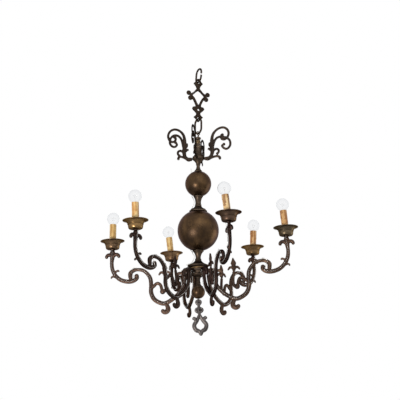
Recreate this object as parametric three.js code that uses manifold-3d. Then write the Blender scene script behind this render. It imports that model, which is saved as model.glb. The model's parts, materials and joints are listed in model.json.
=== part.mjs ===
// A cast bronze chandelier with six scroll arms, hung from a ring, an ornamental link and a second ring.
// Millimetres, +Z up. The origin is the point inside the top ring that rests on the ceiling hook.
import * as THREE from "three";
import { mergeVertices } from "three/addons/utils/BufferGeometryUtils.js";
import Module from "manifold-3d";

const wasm = await Module();
wasm.setup();

// Clearances
const seatGap = 0.3;
const boreGap = 0.5;
const looseGap = 1.2;
const eyeGap = 1;
const leadGap = 2;

// Hanging rings and the link between them
const ringWire = 6.4;
const stemRingWire = 7;
const topRingHeight = 53.4;
const topRingWidth = 36;
const stemRingHeight = 57.6;
const stemRingWidth = 37;
const ringTurn = -48;
const stemRingTurn = -40;
const linkTurn = 31;
const linkEyeRadius = 4.9;
const linkEyeFlare = 1.6;
const linkEyeSpacing = 145.1;
const linkThickness = 8;
const linkHalfWidth = 37.5;
const linkKnobRadius = 8.6;
const linkKnotHole = 4.6;

// Turned pieces of the stem, from the top down
const rodRadius = 4;
const eyeHoleRadius = 4.8;
const eyeBar = 3.6;
const eyeNeckRadius = 2.6;
const eyeNeckLength = 8;
const collarRadius = 10.4;
const collarHeight = 10;
const vaseRadius = 8.6;
const vaseHeight = 17;
const columnRadius = 9.5;
const columnHeight = 12.8;
const rodSocketDepth = 22;
const hubHeight = 92.5;
const hubRimRadius = 21.5;
const hubRimDrop = 39;
const hubRimThickness = 8;
const hubWaistRadius = 6.3;
const hubSeatRadius = 14.5;
const middleNeckSeatRadius = 17.5;
const lowerNeckSeatRadius = 20;
const ballOpening = 10.5;
const smallBallRadius = 49.3;
const bigBallRadius = 76.3;
const ballWall = 1.8;
const middleNeckHeight = 55.1;
const middleNeckRadius = 9.9;
const ballCapRadius = 32.5;
const ballCapThickness = 3;
const lowerNeckHeight = 59;
const lowerNeckRadius = 9.2;
const bellRadius = 38.5;
const bellLip = 3;
const clampRadius = 33.5;
const clampThickness = 5.5;
const plateRadius = 34;
const plateThickness = 8;
const plateHubRadius = 26;
const plateHubDrop = 7.5;
const slotInner = 23;
const tangHeight = 12;
const tangWidth = 9.4;
const collarCupRadius = 27;
const collarCupHeight = 11.5;
const spindleHeight = 37;
const spindleRadius = 7.3;
const spindleFootRadius = 17.5;
const pendantRadius = 24.3;
const dropHeight = 132;
const dropHalfWidth = 28.5;
const dropThickness = 8;
const dropStud = 7;
const dropStudRadius = 3;
const dropLean = -4.5;

// The ring of arms sits loose on the rod, a little off its axis and out of level
const armCount = 6;
const armTilt = 2;
const viewTurn = 11.3;
const armShift = 3;
const armReach = 319.5;
const armDrop = 109;
const armRise = 103.5;
const armHalfWidth = 7.2;
const armHalfDepth = 6.3;
const bossRadius = 9;
const bossHeight = 4;
const thornHalf = 3.9;
const earHalf = 4.8;
const twigHalf = 5.6;
const budHalfWidth = 10.4;

// Cups, candles and bulbs on the arms
const cupRimRadius = 44.5;
const cupDepth = 31.5;
const cupBowlRadius = 26.4;
const cupFootRadius = 23.8;
const cupWall = 1.6;
const candleRadius = 12.3;
const candleWall = 1.2;
const candleLength = 89.6;
const candleLift = 1.4;
const candleLean = [-3.4, 4, -5, 2, 0, -5.4];
const candleTubeRadius = 4.9;
const holderRadius = 9.8;
const holderWall = 2.1;
const holderLength = 42;
const holderInset = 5;
const holderFloor = 9;
const bulbRadius = 23;
const bulbWall = 1;
const bulbCentreLift = 22;
const bulbNeckRadius = 8.6;
const bulbCapRadius = 6.9;
const bulbCapLength = 24;
const bulbPipRadius = 3;

// Scroll brackets round the crown
const bracketCount = 4;
const bracketReach = 114.5;
const bracketRise = [115, 97, 119, 97];
const bracketStrand = 4.5;
const bracketTrunk = 7.4;
const bracketHalfDepth = 2.6;
const bracketSag = [8.5, -3, -10, 3];
const bracketFoot = [1, 1, 0.86, 1];
const bracketSpread = 0.7;

// Leads
const armLeadRadius = 1.4;
const supplyLeadRadius = 1.9;
const leadSide = [-1, -1, 1, 1, 1, -1];

// Materials
const bronze = new THREE.MeshStandardMaterial({ color: 0x4a3c30, roughness: 0.5, metalness: 0.9 });
const brass = new THREE.MeshStandardMaterial({ color: 0x7a6236, roughness: 0.42, metalness: 0.9 });
const pewter = new THREE.MeshStandardMaterial({ color: 0x5c5856, roughness: 0.55, metalness: 0.8 });
const ballBronze = new THREE.MeshStandardMaterial({ color: 0x53412f, roughness: 0.38, metalness: 0.9 });
const steel = new THREE.MeshStandardMaterial({ color: 0x8b8b88, roughness: 0.4, metalness: 1 });
const candle = new THREE.MeshStandardMaterial({ color: 0xdcb878, roughness: 0.6, metalness: 0 });
const porcelain = new THREE.MeshStandardMaterial({ color: 0xe8e4da, roughness: 0.4, metalness: 0 });
const glass = new THREE.MeshStandardMaterial({ color: 0xf2f4f4, roughness: 0.05, metalness: 0 });
const clearPlastic = new THREE.MeshStandardMaterial({ color: 0xcfcfca, roughness: 0.35, metalness: 0 });

// Levels, worked out from the sizes above
const wireHalf = ringWire / 2;
const stemWireHalf = stemRingWire / 2;
const topRingBottom = wireHalf - topRingHeight;
const linkTopEye = topRingBottom - (linkEyeRadius - wireHalf - eyeGap);
const linkBottomEye = linkTopEye - linkEyeSpacing;
const stemRingTop = linkBottomEye - (linkEyeRadius - stemWireHalf - eyeGap);
const stemRingBottom = stemRingTop - stemRingHeight;
const eyeCentre = stemRingBottom - (eyeHoleRadius - stemWireHalf - eyeGap);
const eyeMajor = eyeHoleRadius + eyeBar / 2;
const neckTop = eyeCentre - eyeMajor;
const collarTop = neckTop - eyeNeckLength;
const vaseTop = collarTop - collarHeight;
const columnTop = vaseTop - vaseHeight;
const columnBottom = columnTop - columnHeight;
const boreRadius = rodRadius + boreGap;
const hubTop = columnBottom - seatGap;
const hubBottom = hubTop - hubHeight;
const seatDepth = (radius, at) => Math.sqrt(radius * radius - at * at);
const smallBallCentre = hubBottom - seatGap - seatDepth(smallBallRadius, ballOpening);
const middleNeckTop = smallBallCentre - seatDepth(smallBallRadius, ballOpening) - seatGap;
const middleNeckBottom = middleNeckTop - middleNeckHeight;
const capSeat = middleNeckBottom - ballCapThickness;
const bigBallCentre = capSeat - seatGap - seatDepth(bigBallRadius, ballCapRadius);
const lowerNeckTop = bigBallCentre - seatDepth(bigBallRadius, ballOpening) - seatGap;
const bellBottom = lowerNeckTop - lowerNeckHeight;
const tiltRise = (radius) => radius * Math.sin(THREE.MathUtils.degToRad(armTilt));
const clampTop = bellBottom - seatGap - tiltRise(Math.max(clampRadius, bellRadius));
const plateTop = clampTop - clampThickness - seatGap;
const plateBottom = plateTop - plateThickness - plateHubDrop;
const tangLevel = plateTop - seatGap - tangHeight / 2;
const cupCollarTop = plateBottom - seatGap - tiltRise(plateHubRadius);
const spindleTop = cupCollarTop - collarCupHeight - seatGap;
const spindleBottom = spindleTop - spindleHeight;
const pendantCentre = spindleBottom - seatGap - seatDepth(pendantRadius, spindleFootRadius);
const dropTop = pendantCentre - pendantRadius - seatGap;
const rodTop = columnBottom + rodSocketDepth - seatGap;
const rodBottom = dropTop + dropStud + seatGap;

// A solid made from a geometry whose shared vertices are merged.
function solid(geometry) {
  const g = geometry.clone();
  g.deleteAttribute("normal");
  g.deleteAttribute("uv");
  const merged = mergeVertices(g, 1e-4);
  return new wasm.Manifold(
    new wasm.Mesh({
      numProp: 3,
      vertProperties: new Float32Array(merged.attributes.position.array),
      triVerts: new Uint32Array(merged.index.array),
    }),
  );
}

function geometryOf(made) {
  const mesh = made.getMesh();
  const positions = new Float32Array(mesh.numVert * 3);
  for (let i = 0; i < mesh.numVert; i++) {
    const start = i * mesh.numProp;
    positions.set(mesh.vertProperties.subarray(start, start + 3), i * 3);
  }
  const g = new THREE.BufferGeometry();
  g.setAttribute("position", new THREE.BufferAttribute(positions, 3));
  g.setIndex(new THREE.BufferAttribute(new Uint32Array(mesh.triVerts), 1));
  return g;
}

const joined = (geometries) => geometryOf(geometries.map(solid).reduce((a, b) => a.add(b)));
const cutAway = (geometry, tools) =>
  geometryOf(tools.map(solid).reduce((a, b) => a.subtract(b), solid(geometry)));

// A turned piece from [radius, z] pairs that run from the top down the outside.
// With a bore the profile closes on the bore, otherwise it ends on the axis.
function turned(profile, segments, bore = 0) {
  const first = profile[0];
  const last = profile[profile.length - 1];
  const loop = bore
    ? [[bore, first[1]], ...profile, [bore, last[1]], [bore, first[1]]]
    : [[0, first[1]], ...profile, [0, last[1]]];
  const points = loop.map(([r, z]) => new THREE.Vector2(r, z)).reverse();
  return new THREE.LatheGeometry(points, segments).rotateX(Math.PI / 2);
}

// Points on an arc of a turned ball, from one polar angle to another, in degrees from the top.
function ballArc(radius, centre, from, to, steps) {
  const arc = [];
  for (let i = 0; i <= steps; i++) {
    const a = THREE.MathUtils.degToRad(from + ((to - from) * i) / steps);
    arc.push([radius * Math.sin(a), centre + radius * Math.cos(a)]);
  }
  return arc;
}

// A bar in the XZ plane along a smooth line through [x, z] points.
// Its half width is read from [share of length, half width] pairs. Four sides make a flat strap, six a ridged one.
function bar(points, widths, halfDepth, steps, sides = 4) {
  const curve = new THREE.CatmullRomCurve3(
    points.map(([x, z]) => new THREE.Vector3(x, 0, z)),
    false,
    "centripetal",
  );
  const inset = Math.cos(Math.PI / sides);
  const positions = [];
  const index = [];
  for (let i = 0; i <= steps; i++) {
    const t = i / steps;
    const p = curve.getPointAt(t);
    const along = curve.getTangentAt(t);
    const w = widthAt(widths, t);
    const d = Math.min(halfDepth, w * 1.2) / (sides === 4 ? inset : 1);
    for (let k = 0; k < sides; k++) {
      const a = (2 * Math.PI * (k + 0.5)) / sides;
      const out = (w * Math.cos(a)) / inset;
      positions.push(p.x + along.z * out, d * Math.sin(a), p.z - along.x * out);
    }
  }
  for (let i = 0; i < steps; i++) {
    for (let k = 0; k < sides; k++) {
      const a = i * sides + k;
      const b = i * sides + ((k + 1) % sides);
      index.push(a, b, b + sides, a, b + sides, a + sides);
    }
  }
  const end = steps * sides;
  for (let k = 1; k < sides - 1; k++) {
    index.push(0, k + 1, k, end, end + k, end + k + 1);
  }
  const g = new THREE.BufferGeometry();
  g.setAttribute("position", new THREE.Float32BufferAttribute(positions, 3));
  g.setIndex(index);
  return g;
}

function widthAt(widths, t) {
  for (let i = 1; i < widths.length; i++) {
    const [t0, w0] = widths[i - 1];
    const [t1, w1] = widths[i];
    if (t <= t1) return w0 + ((w1 - w0) * (t - t0)) / (t1 - t0);
  }
  return widths[widths.length - 1][1];
}

// An oval wire ring in the XZ plane, with two straight sides between round ends.
function wireRing(height, width, wire, sides = 8) {
  const bend = width / 2;
  const half = height / 2 - bend;
  const positions = [];
  const index = [];
  const turns = 7;
  const stations = [];
  for (const [sign, centre] of [[1, half], [-1, -half]]) {
    for (let i = 0; i <= turns; i++) {
      const a = (Math.PI * i) / turns + (sign > 0 ? 0 : Math.PI);
      stations.push({ x: bend * Math.cos(a), z: centre + bend * Math.sin(a), a });
    }
  }
  for (const { x, z, a } of stations) {
    for (let k = 0; k < sides; k++) {
      const b = (2 * Math.PI * k) / sides;
      const out = (wire / 2) * Math.cos(b);
      positions.push(x + out * Math.cos(a), (wire / 2) * Math.sin(b), z + out * Math.sin(a));
    }
  }
  const count = stations.length;
  for (let i = 0; i < count; i++) {
    for (let k = 0; k < sides; k++) {
      const a = i * sides + k;
      const b = i * sides + ((k + 1) % sides);
      const c = ((i + 1) % count) * sides + k;
      const d = ((i + 1) % count) * sides + ((k + 1) % sides);
      index.push(a, b, d, a, d, c);
    }
  }
  const g = new THREE.BufferGeometry();
  g.setAttribute("position", new THREE.Float32BufferAttribute(positions, 3));
  g.setIndex(index);
  return g;
}

// A round lead along [x, y, z] points.
function lead(points, radius, steps, sides) {
  const section = new THREE.Shape();
  for (let k = 0; k < sides; k++) {
    const a = (2 * Math.PI * k) / sides;
    const x = radius * Math.cos(a);
    const y = radius * Math.sin(a);
    if (k) section.lineTo(x, y);
    else section.moveTo(x, y);
  }
  const path = new THREE.CatmullRomCurve3(points.map((p) => new THREE.Vector3(...p)), false, "centripetal");
  return new THREE.ExtrudeGeometry(section, { steps, bevelEnabled: false, extrudePath: path });
}

// A flat casting: a disc whose axis is across the plane, for knobs and bosses.
function disc(x, z, radius, thickness, sides = 10) {
  const g = new THREE.CylinderGeometry(radius, radius, thickness, sides);
  return g.translate(x, 0, z);
}

// A flat casting in the XZ plane from its right edge, [half width, z] pairs from the top down.
function slab(edge, thickness) {
  const left = edge.filter(([x]) => x > 0).map(([x, z]) => [-x, z]).reverse();
  const shape = new THREE.Shape([...edge, ...left].map(([x, z]) => new THREE.Vector2(x, z)));
  const g = new THREE.ExtrudeGeometry(shape, { depth: thickness, bevelEnabled: false });
  return g.rotateX(Math.PI / 2).translate(0, thickness / 2, 0);
}

function named(name, geometry, material) {
  const mesh = new THREE.Mesh(geometry, material);
  mesh.name = name;
  return mesh;
}

const degrees = THREE.MathUtils.degToRad;

function topRing() {
  const g = wireRing(topRingHeight, topRingWidth, ringWire);
  const mesh = named("top_ring", g.rotateZ(degrees(ringTurn)), bronze);
  mesh.position.z = wireHalf - topRingHeight / 2;
  return mesh;
}

function stemRing() {
  const g = wireRing(stemRingHeight, stemRingWidth, stemRingWire);
  const mesh = named("stem_ring", g.rotateZ(degrees(stemRingTurn)), bronze);
  mesh.position.z = stemRingTop - stemRingHeight / 2;
  return mesh;
}

// The right edge of the link from its tip down, and of the opening in its frame.
// They are shares of the half width over the knobs and of the distance between the eyes.
const linkEdge = [
  [0.08, 0.096], [0.227, 0.059], [0.307, 0.014], [0.472, -0.038], [0.373, -0.072], [0.227, -0.124],
  [0.173, -0.176], [0.259, -0.211], [0.368, -0.249], [0.523, -0.289], [0.715, -0.318], [0.93, -0.34],
  [0.84, -0.41], [0.715, -0.429], [0.483, -0.52], [0.331, -0.604], [0.28, -0.651], [0.32, -0.672],
  [0.48, -0.686], [0.6, -0.713], [0.627, -0.737], [0.547, -0.768], [0.373, -0.81], [0.227, -0.848],
  [0.213, -0.875], [0.307, -0.92], [0.48, -0.963], [0.293, -1.003], [0.2, -1.044], [0.067, -1.089],
];
const linkOpening = [
  [0, -0.236], [0.221, -0.276], [0.411, -0.324], [0.595, -0.382], [0.469, -0.414], [0.28, -0.488],
  [0.117, -0.579], [0, -0.623],
];
const linkKnobs = [[1, -0.317], [0.832, -0.451]];
const linkKnotLevel = -0.759;

// The ornamental link: a boss with an eye at each end, an open frame with twin knobs, and a pierced knot.
function suspensionLink() {
  const place = ([x, z]) => [x * linkHalfWidth, z * linkEyeSpacing];
  const pieces = [slab(linkEdge.map(place), linkThickness)];
  for (const [x, z] of linkKnobs.map(place)) {
    for (const side of [-1, 1]) pieces.push(disc(side * x, z, linkKnobRadius, linkThickness));
  }
  const opening = slab(linkOpening.map(place), linkThickness * 2);
  const knotHole = disc(0, linkKnotLevel * linkEyeSpacing, linkKnotHole, linkThickness * 2, 8);
  const holes = [opening, knotHole, flaredHole(0), flaredHole(-linkEyeSpacing)];
  const mesh = named("suspension_link", cutAway(joined(pieces), holes).rotateZ(degrees(linkTurn)), bronze);
  mesh.position.z = linkTopEye;
  return mesh;
}

// An eye hole that opens out to both faces of the link, so that the link can swing and turn on a wire.
function flaredHole(z) {
  const depth = linkThickness / 2;
  const over = 1;
  const mouth = linkEyeRadius + (linkEyeFlare * (depth + over)) / depth;
  const points = [[0, depth + over], [mouth, depth + over], [linkEyeRadius, 0], [mouth, -depth - over], [0, -depth - over]];
  const profile = points.map(([r, y]) => new THREE.Vector2(r, y)).reverse();
  return new THREE.LatheGeometry(profile, 12).translate(0, 0, z);
}

function stemEye() {
  const eye = new THREE.TorusGeometry(eyeMajor, eyeBar / 2, 6, 12);
  eye.rotateX(Math.PI / 2).rotateZ(degrees(stemRingTurn + 90)).translate(0, 0, eyeCentre);
  const body = turned(
    [
      [eyeNeckRadius, neckTop + eyeBar / 4],
      [eyeNeckRadius, collarTop],
      [collarRadius, collarTop - collarHeight * 0.5],
      [collarRadius, collarTop - collarHeight * 0.72],
      [vaseRadius * 0.72, vaseTop],
      [vaseRadius, vaseTop - vaseHeight * 0.3],
      [vaseRadius, vaseTop - vaseHeight * 0.6],
      [columnRadius * 0.68, columnTop],
      [columnRadius * 0.95, columnTop - columnHeight * 0.6],
      [columnRadius, columnBottom],
    ],
    14,
  );
  const bore = new THREE.CylinderGeometry(boreRadius, boreRadius, 2 * rodSocketDepth, 14);
  bore.rotateX(Math.PI / 2).translate(0, 0, columnBottom);
  return named("stem_eye", cutAway(joined([eye, body]), [bore]), bronze);
}

function crownHub() {
  const rimTop = hubTop - hubRimDrop;
  const rimBottom = rimTop - hubRimThickness;
  const waist = (rimBottom + hubBottom) / 2 - 5;
  const g = turned(
    [
      [columnRadius, hubTop],
      [columnRadius + 3, hubTop - hubRimDrop * 0.55],
      [hubRimRadius - 3, rimTop + 6],
      [hubRimRadius, rimTop],
      [hubRimRadius, rimBottom],
      [hubRimRadius * 0.65, rimBottom - 7],
      [hubWaistRadius * 1.2, waist + 9],
      [hubWaistRadius, waist],
      [hubWaistRadius * 1.15, waist - 6],
      [hubSeatRadius * 0.8, hubBottom + 6],
      [hubSeatRadius, hubBottom],
    ],
    18,
    boreRadius,
  );
  return named("crown_hub", g, bronze);
}

function hollowBall(name, radius, centre, steps, segments) {
  const opening = (r) => THREE.MathUtils.radToDeg(Math.asin(ballOpening / r));
  const inner = radius - ballWall;
  const outside = ballArc(radius, centre, opening(radius), 180 - opening(radius), steps);
  const inside = ballArc(inner, centre, 180 - opening(inner), opening(inner), steps - 3);
  const loop = [...outside, ...inside, outside[0]].map(([r, z]) => new THREE.Vector2(r, z)).reverse();
  return named(name, new THREE.LatheGeometry(loop, segments).rotateX(Math.PI / 2), ballBronze);
}

// The neck between the balls spreads into a cap whose underside follows the big ball.
function middleNeck() {
  const waist = middleNeckTop - middleNeckHeight * 0.44;
  const capAngle = THREE.MathUtils.radToDeg(Math.asin(ballCapRadius / (bigBallRadius + seatGap)));
  const boreAngle = THREE.MathUtils.radToDeg(Math.asin(boreRadius / (bigBallRadius + seatGap)));
  const g = turned(
    [
      [middleNeckSeatRadius, middleNeckTop],
      [middleNeckSeatRadius * 0.9, middleNeckTop - 5],
      [middleNeckRadius + 1.8, waist + 10],
      [middleNeckRadius, waist],
      [middleNeckRadius + 3.5, waist - 14],
      [ballCapRadius * 0.62, middleNeckBottom + 8],
      [ballCapRadius - 3, middleNeckBottom + 2],
      [ballCapRadius, middleNeckBottom],
      ...ballArc(bigBallRadius + seatGap, bigBallCentre, capAngle, boreAngle, 3),
    ],
    20,
    boreRadius,
  );
  return named("middle_neck", g, bronze);
}

function lowerNeck() {
  const waist = lowerNeckTop - lowerNeckHeight * 0.4;
  const g = turned(
    [
      [lowerNeckSeatRadius, lowerNeckTop],
      [lowerNeckSeatRadius * 0.85, lowerNeckTop - 5],
      [lowerNeckRadius + 1.6, waist + 8],
      [lowerNeckRadius, waist],
      [lowerNeckRadius + 1.5, waist - 8],
      [bellRadius * 0.42, waist - 18],
      [bellRadius * 0.7, bellBottom + bellLip + 9],
      [bellRadius - 2, bellBottom + bellLip + 3],
      [bellRadius, bellBottom + bellLip],
      [bellRadius - bellLip, bellBottom],
    ],
    20,
    boreRadius,
  );
  return named("lower_neck", g, bronze);
}

function clampRing() {
  const g = turned(
    [
      [clampRadius - 1.5, clampTop],
      [clampRadius, clampTop - clampThickness * 0.5],
      [clampRadius - 1.5, clampTop - clampThickness],
    ],
    22,
    rodRadius + armShift + looseGap,
  );
  return named("clamp_ring", g, brass);
}

// The plate has one open slot for the tang of each arm.
function armPlate() {
  const blank = turned(
    [
      [plateRadius, plateTop],
      [plateRadius, plateTop - plateThickness],
      [plateHubRadius, plateTop - plateThickness],
      [plateHubRadius, plateBottom],
    ],
    24,
    rodRadius + armShift + looseGap,
  );
  const slotWidth = tangWidth + 2 * seatGap;
  const slotFloor = tangLevel - tangHeight / 2 - seatGap;
  const height = plateTop - slotFloor + 1;
  const slots = [];
  for (let i = 0; i < armCount; i++) {
    const slot = new THREE.BoxGeometry(plateRadius, slotWidth, height);
    slot.translate(slotInner + plateRadius / 2, 0, slotFloor + height / 2);
    slots.push(slot.rotateZ((2 * Math.PI * i) / armCount));
  }
  return named("arm_plate", cutAway(blank, slots), bronze);
}

function collarCup() {
  const bottom = cupCollarTop - collarCupHeight;
  const g = turned(
    [
      [collarCupRadius, cupCollarTop],
      [collarCupRadius - 1, cupCollarTop - collarCupHeight * 0.35],
      [collarCupRadius * 0.72, cupCollarTop - collarCupHeight * 0.75],
      [collarCupRadius * 0.5, bottom],
    ],
    18,
    boreRadius,
  );
  return named("collar_cup", g, bronze);
}

function spindle() {
  const waist = spindleTop - spindleHeight * 0.42;
  const ball = pendantRadius + seatGap;
  const footAngle = THREE.MathUtils.radToDeg(Math.asin(spindleFootRadius / ball));
  const boreAngle = THREE.MathUtils.radToDeg(Math.asin(boreRadius / ball));
  const g = turned(
    [
      [spindleRadius + 2.5, spindleTop],
      [spindleRadius + 0.5, spindleTop - 5],
      [spindleRadius, waist],
      [spindleRadius + 1.5, waist - 7],
      [spindleFootRadius - 5, spindleBottom + 5],
      [spindleFootRadius, spindleBottom + 1],
      ...ballArc(ball, pendantCentre, footAngle, boreAngle, 2),
    ],
    14,
    boreRadius,
  );
  return named("lower_spindle", g, bronze);
}

function pendantBall() {
  const opening = THREE.MathUtils.radToDeg(Math.asin(boreRadius / pendantRadius));
  const arc = ballArc(pendantRadius, pendantCentre, opening, 180 - opening, 9);
  return named("pendant_ball", turned(arc, 16, boreRadius), ballBronze);
}

function tieRod() {
  const g = new THREE.CylinderGeometry(rodRadius, rodRadius, rodTop - rodBottom, 10);
  return named("tie_rod", g.rotateX(Math.PI / 2).translate(0, 0, (rodTop + rodBottom) / 2), steel);
}

// The drop: two knots, then a pierced lozenge with a curl at each shoulder and a pointed foot.
function drop() {
  const depth = dropThickness / 2;
  const knots = [[-dropHeight * 0.095, 7], [-dropHeight * 0.31, 11]];
  const loopTop = -dropHeight * 0.47;
  const loopMiddle = -dropHeight * 0.72;
  const foot = -dropHeight;
  const pieces = [];
  const stud = new THREE.CylinderGeometry(dropStudRadius, dropStudRadius, dropStud + 8, 8);
  pieces.push(stud.rotateX(Math.PI / 2).translate(0, 0, (dropStud - 8) / 2));
  pieces.push(bar([[0, -1.5], [0, loopTop - 4]], [[0, 5], [1, 5.5]], depth, 1));
  for (const side of [-1, 1]) {
    for (const [z, reach] of knots) {
      pieces.push(bar(
        [[side * 2, z + 9], [side * reach, z + 4], [side * reach, z - 3], [side * 2, z - 10]],
        [[0, 3.2], [0.5, 4.6], [1, 3.2]], depth + 0.6, 4,
      ));
    }
    pieces.push(bar(
      [[0, loopTop + 6], [side * 9, loopTop - 13], [side * (dropHalfWidth - 7), loopMiddle + 1],
        [side * 16, loopMiddle - 15], [side * 5, foot + 16], [0, foot]],
      [[0, 4.5], [0.35, 6.4], [0.75, 6.8], [1, 3.4]], depth, 8,
    ));
    pieces.push(bar(
      [[side * 17, loopMiddle + 12], [side * 16, loopTop - 9], [side * 20, loopTop - 5],
        [side * 24, loopTop - 12]],
      [[0, 4], [0.5, 4.6], [1, 4]], depth, 4,
    ));
  }
  const g = joined(pieces).rotateZ(degrees(viewTurn));
  const group = new THREE.Group();
  group.position.z = dropTop;
  group.add(named("drop_ornament", g, pewter));
  leanToSide(group, dropLean);
  return group;
}

// Leans a group to the right of the front view, which looks along the viewTurn direction.
function leanToSide(group, angle) {
  const across = degrees(90 + viewTurn);
  group.quaternion.setFromAxisAngle(new THREE.Vector3(Math.cos(across), Math.sin(across), 0), degrees(angle));
}

// A point of an arm, as shares of its reach and of its rise above or drop below the tang.
const armPoint = ([r, h]) => [r * armReach, h > 0 ? h * armRise : h * armDrop];
const armBar = (points, widths, depth, steps, sides) =>
  bar(points.map(armPoint), widths, depth, steps, sides);
const armDisc = (point, radius, thickness) => disc(...armPoint(point), radius, thickness, 8);

const outerScroll = [
  [1, 0.97], [1.003, 0.77], [1.012, 0.48], [1.003, 0.26], [0.969, 0.05], [0.903, -0.12], [0.81, -0.19],
  [0.745, -0.15], [0.717, -0.073], [0.72, -0.01],
];
const innerScroll = [
  [0.79, -0.13], [0.796, -0.02], [0.794, 0.09], [0.751, 0.19], [0.692, 0.2], [0.642, 0.155], [0.598, 0.04],
  [0.564, -0.128], [0.555, -0.367], [0.557, -0.615], [0.526, -0.826], [0.467, -0.954], [0.408, -1],
  [0.336, -0.917], [0.262, -0.761], [0.193, -0.509], [0.165, -0.216], [0.156, -0.04],
];
const leafBranch = [
  [0.555, -0.46], [0.522, -0.4], [0.5, -0.335], [0.475, -0.315], [0.447, -0.38], [0.435, -0.5], [0.43, -0.58],
];
const innerBranch = [[0.394, -0.09], [0.384, -0.3], [0.382, -0.46], [0.392, -0.57], [0.415, -0.615]];
const standingBud = [[0.389, 0.37], [0.393, 0.19], [0.395, 0.06], [0.396, -0.11]];
const hangingCurl = [
  [0.402, -0.99], [0.384, -1.05], [0.369, -1.14], [0.371, -1.235], [0.398, -1.285], [0.425, -1.25], [0.432, -1.18],
];
const rootScroll = [[0.175, -0.28], [0.187, -0.09], [0.213, -0.03], [0.245, -0.06], [0.26, -0.15], [0.25, -0.22]];
const leafKnob = [0.424, -0.6];
const outerThorns = [[[0.985, 0.15], [0.955, 0.2], [0.938, 0.28]], [[0.94, -0.06], [0.985, 0], [1.02, -0.03]]];

// One arm with its fleuron, thorns, leaf branch, standing bud, hanging curl and root scroll.
function armGeometry() {
  const w = armHalfWidth;
  const d = armHalfDepth;
  const b = budHalfWidth;
  const pieces = [
    armBar(outerScroll, [[0, w * 1.45], [0.1, w * 1.28], [0.22, w * 0.92], [0.5, w], [0.85, w * 1.05], [1, w]], d, 11, 6),
    armBar(innerScroll, [[0, w * 0.95], [0.06, w * 1.05], [0.14, w * 0.82], [0.3, w], [0.5, w * 1.08], [1, w * 0.95]], d, 17, 6),
    armBar(leafBranch, [[0, twigHalf], [1, twigHalf]], d * 0.8, 4),
    armBar(innerBranch, [[0, w * 0.66], [1, w * 0.8]], d * 0.8, 4),
    armBar(standingBud, [[0, b * 0.08], [0.38, b], [0.7, b * 0.5], [0.86, b * 0.64], [1, b * 0.4]], 4, 5),
    armBar(hangingCurl, [[0, w * 0.8], [0.45, w * 1.3], [0.8, w * 1.2], [1, w * 0.8]], d * 0.9, 6),
    armBar(rootScroll, [[0, w * 0.7], [0.7, w * 0.75], [1, w * 0.9]], d * 0.9, 5),
    armDisc(leafKnob, twigHalf * 1.9, d * 1.7),
    armDisc(outerScroll[outerScroll.length - 1], w * 1.2, d * 2),
  ];
  for (const side of [-1, 1]) {
    pieces.push(armBar([[1, 0.74], [1 + side * 0.03, 0.81], [1 + side * 0.06, 0.79]], [[0, earHalf], [1, earHalf * 1.1]], d * 0.8, 2));
    pieces.push(armDisc([1 + side * 0.06, 0.76], earHalf * 1.4, d * 1.7));
    pieces.push(armBar([[0.396, 0], [0.396 + side * 0.04, 0.045], [0.396 + side * 0.07, -0.05]],
      [[0, earHalf], [0.6, thornHalf], [1, thornHalf * 0.6]], 3, 2));
  }
  for (const thorn of outerThorns) {
    pieces.push(armBar(thorn, [[0, thornHalf], [0.5, thornHalf * 1.15], [1, thornHalf * 0.6]], 3, 2));
  }
  const top = armRise - bossHeight;
  const boss = turned([[5, top - 3], [bossRadius, top], [bossRadius, armRise]].reverse(), 8);
  pieces.push(boss.translate(armReach, 0, 0));
  const tangInner = slotInner + seatGap;
  const tangLength = armReach * 0.2 - tangInner;
  pieces.push(new THREE.BoxGeometry(tangLength, tangWidth, tangHeight).translate(tangInner + tangLength / 2, 0, 0));
  return joined(pieces);
}

// The cup is spun in one piece: a flared rim, a shoulder and a narrower foot, with a hole for the candle tube.
function cupGeometry() {
  const t = cupWall;
  const hole = candleTubeRadius + looseGap;
  const outside = [
    [cupRimRadius, cupDepth],
    [cupRimRadius - 8, cupDepth - 3.5],
    [cupBowlRadius + 4, cupDepth * 0.75],
    [cupBowlRadius, cupDepth * 0.55],
    [cupBowlRadius - 1, cupDepth * 0.48],
    [cupFootRadius, 3],
    [cupFootRadius - 2.4, 0],
    [hole, 0],
  ];
  const inside = [
    [hole, t],
    [cupFootRadius - 2.4, t],
    [cupBowlRadius - 1 - t, cupDepth * 0.48 + t / 2],
    [cupBowlRadius + 4 - t, cupDepth * 0.75 + t / 2],
    [cupRimRadius - 8, cupDepth - 3.5 + t],
    [cupRimRadius - 0.4, cupDepth + t * 0.8],
  ];
  const loop = [...outside, ...inside, outside[0]].map(([r, z]) => new THREE.Vector2(r, z)).reverse();
  return new THREE.LatheGeometry(loop, 12).rotateX(Math.PI / 2);
}

function candleGeometry() {
  const inner = candleRadius - candleWall;
  return turned([[candleRadius, candleLength], [candleRadius, 0]], 12, inner);
}

// The lamp holder stands on its tube, and is open at the top for the cap of the bulb.
function holderGeometry(tube) {
  const bore = holderRadius - holderWall;
  const top = tube + holderLength;
  const profile = [
    [0, tube + holderFloor], [bore, tube + holderFloor], [bore, top], [holderRadius, top],
    [holderRadius, tube], [candleTubeRadius, tube], [candleTubeRadius, 0], [0, 0],
  ];
  const points = profile.map(([r, z]) => new THREE.Vector2(r, z)).reverse();
  return new THREE.LatheGeometry(points, 10).rotateX(Math.PI / 2);
}

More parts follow.
